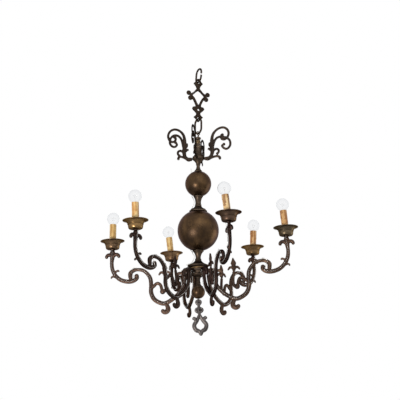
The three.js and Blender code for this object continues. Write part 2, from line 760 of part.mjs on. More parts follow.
// A globe bulb about the centre of its glass, hollow and open at the pip of its cap.
function bulbGeometry() {
  const neckAngle = THREE.MathUtils.radToDeg(Math.asin(bulbNeckRadius / bulbRadius));
  const neckTop = -bulbRadius * Math.cos(degrees(neckAngle));
  const capTop = neckTop - 5;
  const capBottom = capTop - bulbCapLength;
  const inner = bulbRadius - bulbWall;
  const outside = [
    ...ballArc(bulbRadius, 0, 0, 180 - neckAngle, 6),
    [bulbNeckRadius, capTop + 1], [bulbCapRadius, capTop], [bulbCapRadius, capBottom + 4],
    [bulbPipRadius, capBottom],
  ];
  const inside = [
    [bulbPipRadius - bulbWall, capBottom], [bulbCapRadius - bulbWall, capTop - 3],
    ...ballArc(inner, 0, 180 - neckAngle, 0, 3),
  ];
  outside[0][0] = 0;
  inside[inside.length - 1][0] = 0;
  const points = [...outside, ...inside].map(([r, z]) => new THREE.Vector2(r, z)).reverse();
  return new THREE.LatheGeometry(points, 10).rotateX(Math.PI / 2);
}

// The lead of one arm lies along the side of the arm, from under the cup to the plate.
function armLeadGeometry(side) {
  const off = side * (armHalfDepth + armLeadRadius + seatGap);
  const crossing = [[0.76, 0.02], [0.775, 0.17], [0.73, 0.27]];
  const shares = [...outerScroll.slice(1, 8), ...crossing, ...innerScroll.slice(4)];
  const route = shares.map(armPoint).map(([x, z]) => [x, off, z]);
  const startHeight = armRise - bossHeight - 1;
  const start = [armReach, side * (bossRadius + armLeadRadius + looseGap), startHeight];
  const clearOfBoss = [armReach, off, startHeight - 2 * bossRadius];
  const endRadius = plateRadius + seatGap + armLeadRadius;
  const end = [endRadius, off, innerScroll[innerScroll.length - 1][1] * armDrop - tangHeight / 2 - 2];
  return lead([start, clearOfBoss, ...route, end], armLeadRadius, 28, 4);
}

function armWithFittings(i) {
  const number = i + 1;
  const group = new THREE.Group();
  group.rotation.z = (2 * Math.PI * i) / armCount;
  group.position.z = tangLevel;
  group.add(named("arm_" + number, armGeometry(), bronze));
  group.add(named("arm_lead_" + number, armLeadGeometry(leadSide[i]), clearPlastic));
  const cup = named("drip_cup_" + number, cupGeometry(), brass);
  cup.position.set(armReach, 0, armRise + seatGap);
  group.add(cup);
  group.add(candleGroup(i));
  return group;
}

// The candle leans as one with its tube, holder and bulb.
function candleGroup(i) {
  const number = i + 1;
  const stand = new THREE.Group();
  stand.position.set(armReach, 0, armRise + seatGap + tiltAllowance());
  const across = degrees(90 + viewTurn) - (2 * Math.PI * i) / armCount;
  stand.quaternion.setFromAxisAngle(
    new THREE.Vector3(Math.cos(across), Math.sin(across), 0), degrees(candleLean[i]));
  const sleeve = named("candle_sleeve_" + number, candleGeometry(), candle);
  sleeve.position.z = cupWall + candleLift;
  const top = cupWall + candleLift + candleLength;
  const tube = top - holderInset - holderLength;
  const holder = named("lamp_holder_" + number, holderGeometry(tube), porcelain);
  const bulb = named("bulb_" + number, bulbGeometry(), glass);
  bulb.position.z = top + bulbCentreLift;
  stand.add(sleeve, holder, bulb);
  return stand;
}

// A leaning tube is lifted so that its lower edge clears the boss.
function tiltAllowance() {
  const most = Math.max(...candleLean.map(Math.abs));
  return candleTubeRadius * Math.sin(degrees(most));
}

// The lines of a crown bracket, as shares of its reach and of its rise above the rim of the hub.
const bracketRoot = (hubRimRadius + seatGap) / bracketReach;
const bracketTrunkLine = [
  [bracketRoot, 0], [bracketRoot + 0.04, 0], [0.35, 0.01], [0.43, 0.08], [0.463, 0.2], [0.46, 0.35], [0.452, 0.5],
  [0.455, 0.66],
];
const upperScroll = [
  [0.45, 0.5], [0.455, 0.66], [0.49, 0.79], [0.56, 0.89], [0.66, 0.965], [0.79, 1], [0.9, 0.97],
  [0.975, 0.89], [1, 0.79], [0.975, 0.69], [0.925, 0.625], [0.855, 0.59], [0.785, 0.605], [0.75, 0.665],
  [0.765, 0.73], [0.8, 0.765],
];
const lowerScroll = [
  [0.475, 0.36], [0.505, 0.48], [0.54, 0.58], [0.595, 0.67], [0.68, 0.725], [0.79, 0.735], [0.89, 0.71],
  [0.965, 0.645], [1, 0.555], [0.995, 0.455], [0.94, 0.375], [0.87, 0.34], [0.79, 0.37], [0.75, 0.43],
  [0.775, 0.485],
];
const footLine = [
  [bracketRoot, -0.035], [bracketRoot + 0.04, -0.035], [0.33, -0.05], [0.43, 0], [0.55, 0.035], [0.65, 0.035],
  [0.71, -0.01], [0.7, -0.08],
];
const twigLine = [[0.46, 0.2], [0.53, 0.26], [0.6, 0.285], [0.665, 0.25], [0.67, 0.18], [0.62, 0.12]];
const bracketThorns = [[[0.45, 0.36], [0.385, 0.42], [0.37, 0.52]], [[0.44, 0.24], [0.36, 0.3], [0.31, 0.28]]];
const scrollBud = [0.8, 0.49];

function bracketGeometry(rise, sag, foot) {
  const w = bracketStrand;
  const d = bracketHalfDepth;
  const place = ([r, h]) => [r * bracketReach, h * rise];
  const bent = ([r, h]) => {
    const [x, z] = place([r, h]);
    const share = Math.min(1, Math.max(0, (r - lowerScroll[1][0]) / 0.35));
    return [x + sag * bracketSpread * share, z - sag * share];
  };
  const lifted = ([r, h]) => {
    const past = Math.max(0, r - 0.3);
    const [x, z] = place([r - past * (1 - foot), h]);
    return [x, z + Math.max(0, -sag) * past * 1.8];
  };
  const pieces = [
    bar(bracketTrunkLine.map(place), [[0, w], [0.3, w * 1.3], [0.45, bracketTrunk], [0.8, bracketTrunk], [1, w * 1.5]], d * 1.3, 6, 6),
    bar(upperScroll.map(place), [[0, w * 1.5], [0.3, w], [0.9, w], [1, w * 1.3]], d, 13),
    bar(lowerScroll.map(bent), [[0, w * 1.3], [0.2, w], [1, w]], d, 12),
    disc(...bent(scrollBud), w * 1.25, d * 2.4, 8),
    bar(footLine.map(lifted), [[0, w], [0.7, w], [1, w * 1.1]], d, 5),
    bar(twigLine.map(place), [[0, w * 1.1], [1, w * 0.9]], d, 3),
  ];
  for (const thorn of bracketThorns) pieces.push(bar(thorn.map(place), [[0, w * 1.4], [1, w * 0.8]], d, 2));
  return joined(pieces);
}

function crownBracket(i) {
  const g = bracketGeometry(bracketRise[i], bracketSag[i], bracketFoot[i]);
  const mesh = named("crown_bracket_" + (i + 1), g, bronze);
  mesh.position.z = hubTop - hubRimDrop - hubRimThickness / 2;
  mesh.rotation.z = (2 * Math.PI * i) / bracketCount;
  return mesh;
}

// The clear supply lead is tied down the back left of the stem, from a cut end above the small ball to the bell.
function supplyLead() {
  const clear = supplyLeadRadius + leadGap;
  const out = (radius, turn, z) => {
    const a = degrees(turn + viewTurn);
    return [radius * Math.cos(a), radius * Math.sin(a), z];
  };
  const round = (ball, centre, polar, turn) => {
    const a = degrees(polar);
    return out((ball + clear) * Math.sin(a), turn, centre + (ball + clear) * Math.cos(a));
  };
  const waist = middleNeckTop - middleNeckHeight * 0.44;
  const lowWaist = lowerNeckTop - lowerNeckHeight * 0.4;
  const route = [
    out(30, 150, smallBallCentre + smallBallRadius + 14),
    round(smallBallRadius, smallBallCentre, 38, 140),
    round(smallBallRadius, smallBallCentre, 65, 118),
    round(smallBallRadius, smallBallCentre, 90, 110),
    round(smallBallRadius, smallBallCentre, 120, 118),
    round(smallBallRadius, smallBallCentre, 150, 145),
    out(middleNeckSeatRadius * 0.9 + clear, 160, middleNeckTop - 6),
    out(middleNeckRadius + clear + 1, 168, waist + 4),
    out(ballCapRadius * 0.62 + clear + 3, 150, middleNeckBottom + 11),
    out(ballCapRadius + clear + 3, 128, middleNeckBottom + 1),
    round(bigBallRadius, bigBallCentre, 50, 112),
    round(bigBallRadius, bigBallCentre, 70, 108),
    round(bigBallRadius, bigBallCentre, 92, 108),
    round(bigBallRadius, bigBallCentre, 115, 110),
    round(bigBallRadius, bigBallCentre, 138, 122),
    round(bigBallRadius, bigBallCentre, 160, 140),
    out(lowerNeckSeatRadius * 0.9 + clear, 155, lowerNeckTop - 6),
    out(lowerNeckRadius + clear + 1.5, 165, lowWaist + 2),
    out(bellRadius * 0.42 + clear + 3, 172, lowWaist - 17),
    out(bellRadius + clear, 176, bellBottom + bellLip + 5),
  ];
  return named("supply_lead", lead(route, supplyLeadRadius, 40, 5), clearPlastic);
}

// The ring of arms, its plate and its clamp, tilted together about the rod.
function armRing() {
  const ring = new THREE.Group();
  ring.position.set(
    armShift * Math.cos(degrees(viewTurn)), armShift * Math.sin(degrees(viewTurn)), tangLevel);
  leanToSide(ring, -armTilt);
  const inner = new THREE.Group();
  inner.position.z = -tangLevel;
  inner.add(clampRing(), armPlate());
  for (let i = 0; i < armCount; i++) inner.add(armWithFittings(i));
  ring.add(inner);
  return ring;
}

const chandelier = new THREE.Group();
chandelier.add(topRing(), suspensionLink(), stemRing(), stemEye(), crownHub());
for (let i = 0; i < bracketCount; i++) chandelier.add(crownBracket(i));
chandelier.add(hollowBall("small_ball", smallBallRadius, smallBallCentre, 9, 18), middleNeck());
chandelier.add(hollowBall("big_ball", bigBallRadius, bigBallCentre, 11, 22), lowerNeck());
chandelier.add(armRing(), collarCup(), spindle(), pendantBall(), drop(), tieRod(), supplyLead());

export default chandelier;
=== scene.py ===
"""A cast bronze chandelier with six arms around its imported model. Sizes are in millimetres."""
import json
import math

import bmesh
import bpy
import numpy as np
from mathutils import Matrix, Vector


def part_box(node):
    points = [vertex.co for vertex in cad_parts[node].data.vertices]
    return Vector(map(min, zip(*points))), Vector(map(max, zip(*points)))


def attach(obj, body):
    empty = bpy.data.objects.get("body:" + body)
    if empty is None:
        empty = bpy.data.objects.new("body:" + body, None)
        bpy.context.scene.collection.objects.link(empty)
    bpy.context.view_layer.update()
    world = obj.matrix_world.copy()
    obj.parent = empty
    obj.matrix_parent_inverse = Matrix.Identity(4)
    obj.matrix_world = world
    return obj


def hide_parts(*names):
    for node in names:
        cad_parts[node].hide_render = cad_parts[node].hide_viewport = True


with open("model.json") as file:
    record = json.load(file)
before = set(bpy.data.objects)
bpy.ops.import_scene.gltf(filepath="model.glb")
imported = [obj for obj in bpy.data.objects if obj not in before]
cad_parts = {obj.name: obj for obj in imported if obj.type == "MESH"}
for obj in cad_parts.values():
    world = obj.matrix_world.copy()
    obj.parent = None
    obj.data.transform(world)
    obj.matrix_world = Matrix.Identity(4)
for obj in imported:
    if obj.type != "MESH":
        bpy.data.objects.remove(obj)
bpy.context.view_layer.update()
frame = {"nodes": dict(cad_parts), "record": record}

MM = 0.001
BODY_OF = {node: body for body, nodes in frame["record"]["behaviour"]["bodies"].items() for node in nodes}

# Camera of the photograph
FOCAL = 90.2
SENSOR = 36
IMAGE = 400
CAMERA_DISTANCE = 3.66
CAMERA_AZIMUTH = 11.27
CAMERA_ELEVATION = -15.24
AIM_HEIGHT = -0.511
AXIS_SHIFT = 1.8
FLOOR_HEIGHT = -3.2

# Fits and the ring of arms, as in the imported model
SEAT_GAP = 0.3
VIEW_TURN = 11.3
ARM_COUNT = 6
ARM_TILT = 2
ARM_SHIFT = 3
ARM_REACH = 319.5
ARM_DROP = 109
ARM_RISE = 103.5
ARM_HALF_WIDTH = 7.3
ARM_HALF_DEPTH = 6.3
BOSS_RADIUS = 9
CANDLE_LEAN = [-3.4, 4, -5, 2, 0, -5.4]
CANDLE_TUBE = 4.9
CUP_WALL = 1.6
CUP_DEPTH = 31.5
CANDLE_LIFT = 1.4
CANDLE_LENGTH = 89.6
CANDLE_RADIUS = 12.3
HOLDER_LENGTH = 42
HOLDER_INSET = 5
BULB_RADIUS = 23
BULB_LIFT = 22
BULB_TURN = math.radians(153)
ROD_BORE = 4.5
PLATE_BORE = 8.2
LEAD_SIDE = [-1, -1, 1, 1, 1, -1]
ARM_LEAD = 1.4
SUPPLY_LEAD = 1.9
LEAD_GAP = 2
LOOSE_GAP = 1.2

# Balls and necks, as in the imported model
BALLS = {"small_ball": 49.3, "big_ball": 76.3, "pendant_ball": 24.3}
BALL_OPENING = 10.5
MIDDLE_NECK = 55.1
MIDDLE_SEAT = 17.5
MIDDLE_WAIST = 9.9
BALL_CAP = 32.5
LOWER_NECK = 59
LOWER_SEAT = 20
LOWER_WAIST = 9.2
BELL = 38.5
BELL_LIP = 3
HUB_RIM = 21.5
HUB_RIM_DROP = 39
HUB_RIM_HALF = 4
PLATE = 34

# Fineness of the cast meshes
ARM_VOXEL = 1.25
FINE_VOXEL = 0.85
SMOOTH_STEP = 0.5
SWELL_STEP = -0.53
# Curvature scale for the edge and hollow tones (rubbed metal with painted highlight, painted shade in
# hollows), and how much painted shade the sides of flat castings take
WEAR_AND_SHADE_SCALE = 3.5
SIDE_SHADE = 0.8


def top_of(node):
    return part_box(node)[1].z / MM


def bottom_of(node):
    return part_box(node)[0].z / MM


# Curves and sections

def evenly(line, count):
    """A polyline with count + 1 points evenly along it."""
    lengths = [0.0]
    for a, b in zip(line, line[1:]):
        lengths.append(lengths[-1] + (b - a).length)
    out, k = [], 0
    for i in range(count + 1):
        at = lengths[-1] * i / count
        while k < len(line) - 2 and lengths[k + 1] < at:
            k += 1
        span = max(lengths[k + 1] - lengths[k], 1e-9)
        out.append(line[k].lerp(line[k + 1], (at - lengths[k]) / span))
    return out


def smooth_through(points, span_steps=12):
    """A centripetal Catmull-Rom curve through the points, as a fine polyline."""
    pts = [Vector(p) for p in points]
    pts = [2 * pts[0] - pts[1], *pts, 2 * pts[-1] - pts[-2]]
    fine = []
    for p0, p1, p2, p3 in zip(pts, pts[1:], pts[2:], pts[3:]):
        t1 = math.sqrt((p1 - p0).length)
        t2 = t1 + math.sqrt((p2 - p1).length)
        t3 = t2 + math.sqrt((p3 - p2).length)
        for i in range(span_steps):
            t = t1 + (t2 - t1) * i / span_steps
            a1 = p0.lerp(p1, t / t1)
            a2 = p1.lerp(p2, (t - t1) / (t2 - t1))
            a3 = p2.lerp(p3, (t - t2) / (t3 - t2))
            b1 = a1.lerp(a2, t / t2)
            b2 = a2.lerp(a3, (t - t1) / (t3 - t1))
            fine.append(b1.lerp(b2, (t - t1) / (t2 - t1)))
    fine.append(pts[-2])
    return fine


def section(half):
    """A closed section from its quarter, edge (1, 0) to ridge (0, 1)."""
    upper = half + [(-u, v) for u, v in reversed(half[:-1])]
    lower = [(u, -v) for u, v in reversed(upper[1:-1])]
    return upper + lower


def quarter_round(steps):
    return [(math.cos(math.pi * i / steps / 2), math.sin(math.pi * i / steps / 2)) for i in range(steps + 1)]


def angles(count):
    return [2 * math.pi * k / count for k in range(count)]


def level_ring(radius, z, sides):
    return [Vector((radius * math.cos(a), radius * math.sin(a), z)) for a in angles(sides)]


def upright_ring(x, y, z, radius, sides, across=1.0):
    """A ring across the XZ plane, wider along X by the share given."""
    return [Vector((x + across * radius * math.cos(a), y, z + radius * math.sin(a))) for a in angles(sides)]


def arc(radius, start, sweep, steps):
    """Points on a circle about the origin, by the angle from its lowest point."""
    turns = [start + sweep * i / steps for i in range(steps + 1)]
    return [(radius * math.sin(a), -radius * math.cos(a)) for a in turns]


RIDGED = section([(1, 0), (0.97, 0.42), (0.8, 0.7), (0.55, 0.68), (0.26, 0.74), (0.12, 0.96), (0, 1)])
ROUND = section(quarter_round(4))
FLAT = section([(1, 0), (0.98, 0.6), (0.82, 0.92), (0.45, 1), (0, 1)])


def width_at(widths, t):
    for (t0, w0), (t1, w1) in zip(widths, widths[1:]):
        if t <= t1:
            return w0 + (w1 - w0) * (t - t0) / (t1 - t0)
    return widths[-1][1]


# Shells, each a pair of vertices and faces

def lofted(rings):
    """A closed shell through rings of equally many points."""
    count = len(rings[0])
    faces = []
    for start in range(0, (len(rings) - 1) * count, count):
        pairs = [(start + k, start + (k + 1) % count) for k in range(count)]
        faces += [(a, b, b + count, a + count) for a, b in pairs]
    last = (len(rings) - 1) * count
    faces += [tuple(reversed(range(count))), tuple(range(last, last + count))]
    return [v for ring in rings for v in ring], faces


def strand(points, widths, depth, shape=RIDGED, pitch=1.6):
    """A cast strand in the XZ plane whose half width follows [share of length, half width] pairs."""
    fine = smooth_through([(x, 0, z) for x, z in points])
    length = sum((b - a).length for a, b in zip(fine, fine[1:]))
    count = max(6, round(length / pitch))
    line = evenly(fine, count)
    rings = []
    for i, p in enumerate(line):
        along = (line[min(i + 1, count)] - line[max(i - 1, 0)]).normalized()
        out = Vector((along.z, 0, -along.x))
        w = width_at(widths, i / count)
        from_end = min(i, count - i) * length / count
        rounding = math.sqrt(max(0.12, 1 - (1 - min(1, from_end / w)) ** 2))
        d = min(depth, w * 1.2) * rounding
        rings.append([p + out * (w * rounding * u) + Vector((0, d * v, 0)) for u, v in shape])
    return lofted(rings)


def blob(x, z, radius, depth, sides=16):
    """A rounded boss across the XZ plane."""
    rings = []
    for i in range(1, sides // 2):
        a = math.pi * i / (sides // 2)
        r = radius * math.sin(a)
        rings.append([Vector((x + r * math.cos(b), depth * math.cos(a), z - r * math.sin(b)))
                      for b in angles(sides)])
    return lofted(rings)


def tube(line, radius, sides=14, closed=False):
    """A round wire along a polyline. A list of radii makes it taper."""
    count = len(line)
    radii = radius if isinstance(radius, list) else [radius] * count
    normal = Vector((0.1, 1, 0.05))
    rings = []
    for i, p in enumerate(line):
        before = line[i - 1] if i or closed else p
        after = line[(i + 1) % count] if i < count - 1 or closed else p
        along = (after - before).normalized()
        normal = (normal - along * normal.dot(along)).normalized()
        other = along.cross(normal)
        rings.append([p + (normal * math.cos(a) + other * math.sin(a)) * radii[i] for a in angles(sides)])
    shell = lofted(rings)
    if closed:
        offset = min(range(sides), key=lambda k: (rings[-1][0] - rings[0][k]).length)
        shell = looped(shell, sides, offset)
    return shell


def looped(shell, sides, offset=0):
    """Joins the last ring of a shell to its first, in place of its two ends."""
    verts, faces = shell
    last = len(verts) - sides
    faces = faces[:-2]
    for k in range(sides):
        after = (k + 1) % sides
        faces.append((last + k, last + after, (after + offset) % sides, (k + offset) % sides))
    return verts, faces


def turned(runs, top, sides=72, bore=0.0, span=5):
    """A turned shell from smooth runs of (radius, depth below top) pairs, with an edge between runs."""
    profile = []
    for run in runs:
        points = [(r, 0, top - d) for r, d in run]
        fine = smooth_through(points, span) if len(points) > 2 else [Vector(p) for p in points]
        profile += [(p.x, p.z) for p in fine]
    if bore:
        profile = [(bore, profile[0][1]), *profile, (bore, profile[-1][1])]
    shell = lofted([level_ring(r, z, sides) for r, z in profile])
    return looped(shell, sides) if bore else shell


def block(low, high):
    corners = [Vector((x, y, z)) for z in (low[2], high[2]) for x, y in
               ((low[0], low[1]), (high[0], low[1]), (high[0], high[1]), (low[0], high[1]))]
    return lofted([corners[:4], corners[4:]])


def merged(shells):
    verts, faces = [], []
    for shell_verts, shell_faces in shells:
        start = len(verts)
        verts += shell_verts
        faces += [tuple(i + start for i in face) for face in shell_faces]
    return verts, faces


def moved(shell, matrix):
    return [matrix @ v for v in shell[0]], shell[1]


# Objects

def link(name, data):
    obj = bpy.data.objects.new(name, data)
    bpy.context.scene.collection.objects.link(obj)
    return obj


def new_object(name, shell):
    mesh = bpy.data.meshes.new(name)
    mesh.from_pydata([v * MM for v in shell[0]], [], shell[1])
    work = bmesh.new()
    work.from_mesh(mesh)
    bmesh.ops.recalc_face_normals(work, faces=work.faces)
    work.to_mesh(mesh)
    work.free()
    return link(name, mesh)


def apply_modifiers(obj):
    graph = bpy.context.evaluated_depsgraph_get()
    mesh = bpy.data.meshes.new_from_object(obj.evaluated_get(graph))
    old = obj.data
    obj.modifiers.clear()
    obj.data = mesh
    bpy.data.meshes.remove(old)


def remesh(obj, voxel):
    modifier = obj.modifiers.new("remesh", "REMESH")
    modifier.mode = "VOXEL"
    modifier.voxel_size = voxel * MM
    apply_modifiers(obj)


def cut(obj, shell):
    """Cuts a closed shell out of an object."""
    tool = new_object("cutter", shell)
    modifier = obj.modifiers.new("cut", "BOOLEAN")
    modifier.operation = "DIFFERENCE"
    modifier.object = tool
    apply_modifiers(obj)
    bpy.data.meshes.remove(tool.data)


def neighbour_means(values, edges):
    count = len(values)
    total = np.zeros((count, values.shape[1]))
    np.add.at(total, edges[:, 0], values[edges[:, 1]])
    np.add.at(total, edges[:, 1], values[edges[:, 0]])
    degree = np.bincount(edges.ravel(), minlength=count)
    return total / np.maximum(degree, 1)[:, None]


def read(data, name, width, kind=np.float32):
    values = np.empty(len(data) * width, kind)
    data.foreach_get(name, values)
    return values.reshape(-1, width)


def mesh_arrays(mesh):
    return read(mesh.vertices, "co", 3).astype(float), read(mesh.edges, "vertices", 2, np.int32)


def store(mesh, name, values):
    layer = mesh.attributes.new(name, "FLOAT", "POINT")
    layer.data.foreach_set("value", np.array(values, np.float32).ravel())


def relax(obj, rounds):
    """Evens out the voxel steps without shrinking the casting."""
    co, edges = mesh_arrays(obj.data)
    for i in range(rounds * 2):
        co += (neighbour_means(co, edges) - co) * (SWELL_STEP if i % 2 else SMOOTH_STEP)
    obj.data.vertices.foreach_set("co", co.astype(np.float32).ravel())
    obj.data.update()


def mark_wear_and_shade(obj, across=None):
    """Stores from -1 in a hollow to 1 on an edge: edges that hands and cloths reach are rubbed and also get a
    painted highlight, and hollows get painted shade.

    A flat casting gives the direction across its plane: its sides get painted shade, and its ridges are
    rubbed and get a painted highlight.
    """
    mesh = obj.data
    co, edges = mesh_arrays(mesh)
    normals = read(mesh.vertex_normals, "vector", 3)
    offset = neighbour_means(co, edges) - co
    squares = np.linalg.norm(co[edges[:, 0]] - co[edges[:, 1]], axis=1) ** 2
    around = np.zeros(len(co))
    np.add.at(around, edges[:, 0], squares)
    np.add.at(around, edges[:, 1], squares)
    degree = np.maximum(np.bincount(edges.ravel(), minlength=len(co)), 1)
    curvature = -2 * (offset * normals).sum(1) / np.maximum(around / degree, 1e-12)
    # Convex edges go up towards rubbed metal with a painted highlight, and hollows go down towards painted
    # shade
    wear_and_shade = np.clip(curvature * WEAR_AND_SHADE_SCALE * MM, -1, 1)[:, None]
    for _ in range(2):
        wear_and_shade = (wear_and_shade + neighbour_means(wear_and_shade, edges)) / 2
    if across is not None:
        # The sides of a flat casting are pushed below zero, which paints shade on them
        facing = np.abs(normals @ np.array(across))[:, None]
        wear_and_shade = wear_and_shade * facing ** 2 - SIDE_SHADE * (1 - facing)
    store(mesh, "wear_and_shade", wear_and_shade)


def shade(obj, material, sharp=38):
    obj.data.materials.clear()
    obj.data.materials.append(material)
    obj.data.shade_smooth()
    obj.data.set_sharp_from_angle(angle=math.radians(sharp))


def dress(obj, node, replace=True):
    """The piece rides on the body of a node and, unless told otherwise, stands for that node."""
    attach(obj, BODY_OF[node])
    if replace:
        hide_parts(node)


def put(obj, place):
    """Moves the mesh of an object to a place that is written in millimetres."""
    scaled = place.copy()
    scaled.translation = place.translation * MM
    obj.data.transform(scaled)


def smooth_piece(name, shell, material, node, place=None, replace=True, sharp=38):
    obj = new_object(name, moved(shell, place) if place else shell)
    mark_wear_and_shade(obj)
    shade(obj, material, sharp)
    dress(obj, node, replace)


def casting(name, shells, voxel, holes=(), rounds=2):
    """One cast mesh out of overlapping shells, for copies to use."""
    obj = new_object(name, merged(shells))
    remesh(obj, voxel)
    for hole in holes:
        cut(obj, hole)
    if holes:
        remesh(obj, voxel)
    relax(obj, rounds)
    return obj


def cast_piece(obj, name, material, node, place):
    """A placed copy of a casting."""
    copy = link(name, obj.data.copy())
    put(copy, place)
    mark_wear_and_shade(copy, across=place.to_3x3() @ Vector((0, 1, 0)))
    shade(copy, material, sharp=180)
    dress(copy, node)


def discard(obj):
    bpy.data.meshes.remove(obj.data)


def cast_once(name, shells, material, node, place, holes=()):
    blank = casting(name + "_blank", shells, FINE_VOXEL, holes)
    cast_piece(blank, name, material, node, place)
    discard(blank)


# Places

def turn_z(angle):
    return Matrix.Rotation(math.radians(angle), 4, "Z")


def shift(x, y, z):
    return Matrix.Translation((x, y, z))


def lean(angle, turn=0.0):
    """Leans to the right of the front view, for a thing already turned by an angle about Z."""
    across = math.radians(90 + VIEW_TURN - turn)
    return Matrix.Rotation(math.radians(angle), 4, Vector((math.cos(across), math.sin(across), 0)))


TILT_REACH = 36.5
TILT_RISE = TILT_REACH * math.sin(math.radians(ARM_TILT))
CLAMP_TOP = bottom_of("lower_neck") - SEAT_GAP - TILT_RISE
CLAMP_THICKNESS = 5.5
PLATE_TOP = CLAMP_TOP - CLAMP_THICKNESS - SEAT_GAP
TANG_HEIGHT = 12
TANG_LEVEL = PLATE_TOP - SEAT_GAP - TANG_HEIGHT / 2
RING_PLACE = shift(
    ARM_SHIFT * math.cos(math.radians(VIEW_TURN)), ARM_SHIFT * math.sin(math.radians(VIEW_TURN)), TANG_LEVEL
) @ lean(-ARM_TILT)
ON_RING = RING_PLACE @ shift(0, 0, -TANG_LEVEL)


def arm_place(i):
    return RING_PLACE @ turn_z(360 * i / ARM_COUNT)


def candle_place(i):
    allowance = CANDLE_TUBE * math.sin(math.radians(max(abs(a) for a in CANDLE_LEAN)))
    stand = shift(ARM_REACH, 0, ARM_RISE + SEAT_GAP + allowance)
    return arm_place(i) @ stand @ lean(CANDLE_LEAN[i], 360 * i / ARM_COUNT)


# Materials

def new_material(name):
    material = bpy.data.materials.new(name)
    material.use_nodes = True
    tree = material.node_tree
    return material, tree, tree.nodes["Principled BSDF"]


def connect(tree, made, inputs):
    """Gives a shader node's inputs, named or counted, their numbers, colours or sockets."""
    for key, value in inputs.items():
        if isinstance(value, bpy.types.NodeSocket):
            tree.links.new(value, made.inputs[key])
        else:
            made.inputs[key].default_value = value


def add(tree, kind, inputs=None, **settings):
    made = tree.nodes.new("ShaderNode" + kind)
    for key, value in settings.items():
        setattr(made, key, value)
    connect(tree, made, inputs or {})
    return made


def noise(tree, scale, detail=3, rough=0.55, offset=(0, 0, 0), stretch=(1, 1, 1)):
    """A noise value in the frame's own coordinates."""
    coords = add(tree, "TexCoord").outputs["Object"]
    placed = add(tree, "Mapping", {"Vector": coords, "Location": offset, "Scale": stretch}).outputs[0]
    inputs = {"Vector": placed, "Scale": scale, "Detail": detail, "Roughness": rough}
    return add(tree, "TexNoise", inputs).outputs["Fac"]


def ramp(tree, value, low, high, to_low=0.0, to_high=1.0):
    return add(tree, "MapRange", {0: value, 1: low, 2: high, 3: to_low, 4: to_high}, clamp=True).outputs[0]


def maths(tree, operation, *values):
    return add(tree, "Math", dict(enumerate(values)), operation=operation).outputs[0]


def blended(tree, share, a, b):
    return add(tree, "Mix", {0: share, 6: a, 7: b}, data_type="RGBA").outputs[2]


def attribute(tree, name):
    return add(tree, "Attribute", attribute_name=name).outputs["Fac"]


def bump(tree, strength, distance, height):
    return add(tree, "Bump", {"Strength": strength, "Distance": distance, "Height": height}).outputs[0]


def colour(tone):
    """A linear colour from one written as the screen shows it, from 0 to 255."""
    linear = [((c / 255 + 0.055) / 1.055) ** 2.4 if c > 10 else c / 255 / 12.92 for c in tone]
    return (*linear, 1.0)


# Dark tone for the streaks and for the painted shade in hollows and on the sides of flat castings
SHADE_AND_STREAK_TONE = (26, 21, 18)
DULL_EDGE = (0.1, 0.085, 0.075)


def patina(name, base, tint, worn, dark=SHADE_AND_STREAK_TONE, rough=0.42, bare=0.55, seed=0, streaks=0.0, edge=DULL_EDGE):
    """Old bronze: a mottled brown skin, rubbed metal with a painted highlight on the edges, and painted shade
    in the hollows and on the sides of flat castings.
    """
    material, tree, shader = new_material(name)
    base, tint, worn, dark = map(colour, (base, tint, worn, dark))
    place = (seed, seed * 1.7, seed * 0.6)
    clouds = noise(tree, 26, 4, 0.6, place)
    grain = noise(tree, 330, 3, 0.6, place)
    wear_and_shade = attribute(tree, "wear_and_shade")
    mottled = blended(tree, ramp(tree, clouds, 0.38, 0.64), base, tint)
    uneven = maths(tree, "MULTIPLY_ADD", grain, 0.7, wear_and_shade)
    # Edges lighten: rubbed metal and a painted highlight
    shown = blended(tree, ramp(tree, uneven, 0.62, 1.3, 0, bare), mottled, worn)
    # Hollows and the sides of flat castings darken: painted shade
    skin = blended(tree, ramp(tree, wear_and_shade, -0.05, -0.7, 0, 0.85), shown, dark)
    if streaks:
        brushed = noise(tree, 60, 4, 0.65, place, (1, 1, 0.18))
        skin = blended(tree, ramp(tree, brushed, 0.42, 0.7, 0, streaks), skin, dark)
    broad = ramp(tree, clouds, 0.3, 0.7, rough + 0.1, rough - 0.06)
    roughness = maths(tree, "ADD", broad, ramp(tree, grain, 0.3, 0.7, -0.05, 0.07))
    connect(tree, shader, {
        "Base Color": skin, "Metallic": 0.97, "Specular Tint": (*edge, 1), "Roughness": roughness,
        "Normal": bump(tree, 0.35, 0.0005, grain),
    })
    return material


def patinas(name, rows, seed, **options):
    """One patina for each row of tones, each with its own mottling."""
    return [patina(name + str(i + 1), *row, seed=seed + i, **options) for i, row in enumerate(rows)]


def sleeve_material(i, card_tone, tint, burnt, brownness):
    """Cream card with painted wax runs, browned by heat."""
    material, tree, shader = new_material("sleeve_" + str(i + 1))
    place = (0.31 * i, 0.17 * i, 0)
    clouds = noise(tree, 48, 4, 0.6, place, (1, 1, 0.5))
    grain = noise(tree, 420, 2, 0.5, place)
    card = blended(tree, ramp(tree, clouds, 0.4, 0.62), colour(card_tone), colour(tint))
    scorched = maths(tree, "MULTIPLY_ADD", clouds, 1.6, attribute(tree, "drip"))
    share = ramp(tree, scorched, 1.0 - 0.3 * brownness, 1.5 - 0.3 * brownness, 0, 0.45 + 0.5 * brownness)
    connect(tree, shader, {
        "Base Color": blended(tree, share, card, colour(burnt)), "Roughness": 0.55,
        "Normal": bump(tree, 0.3, 0.0004, grain),
    })
    return material


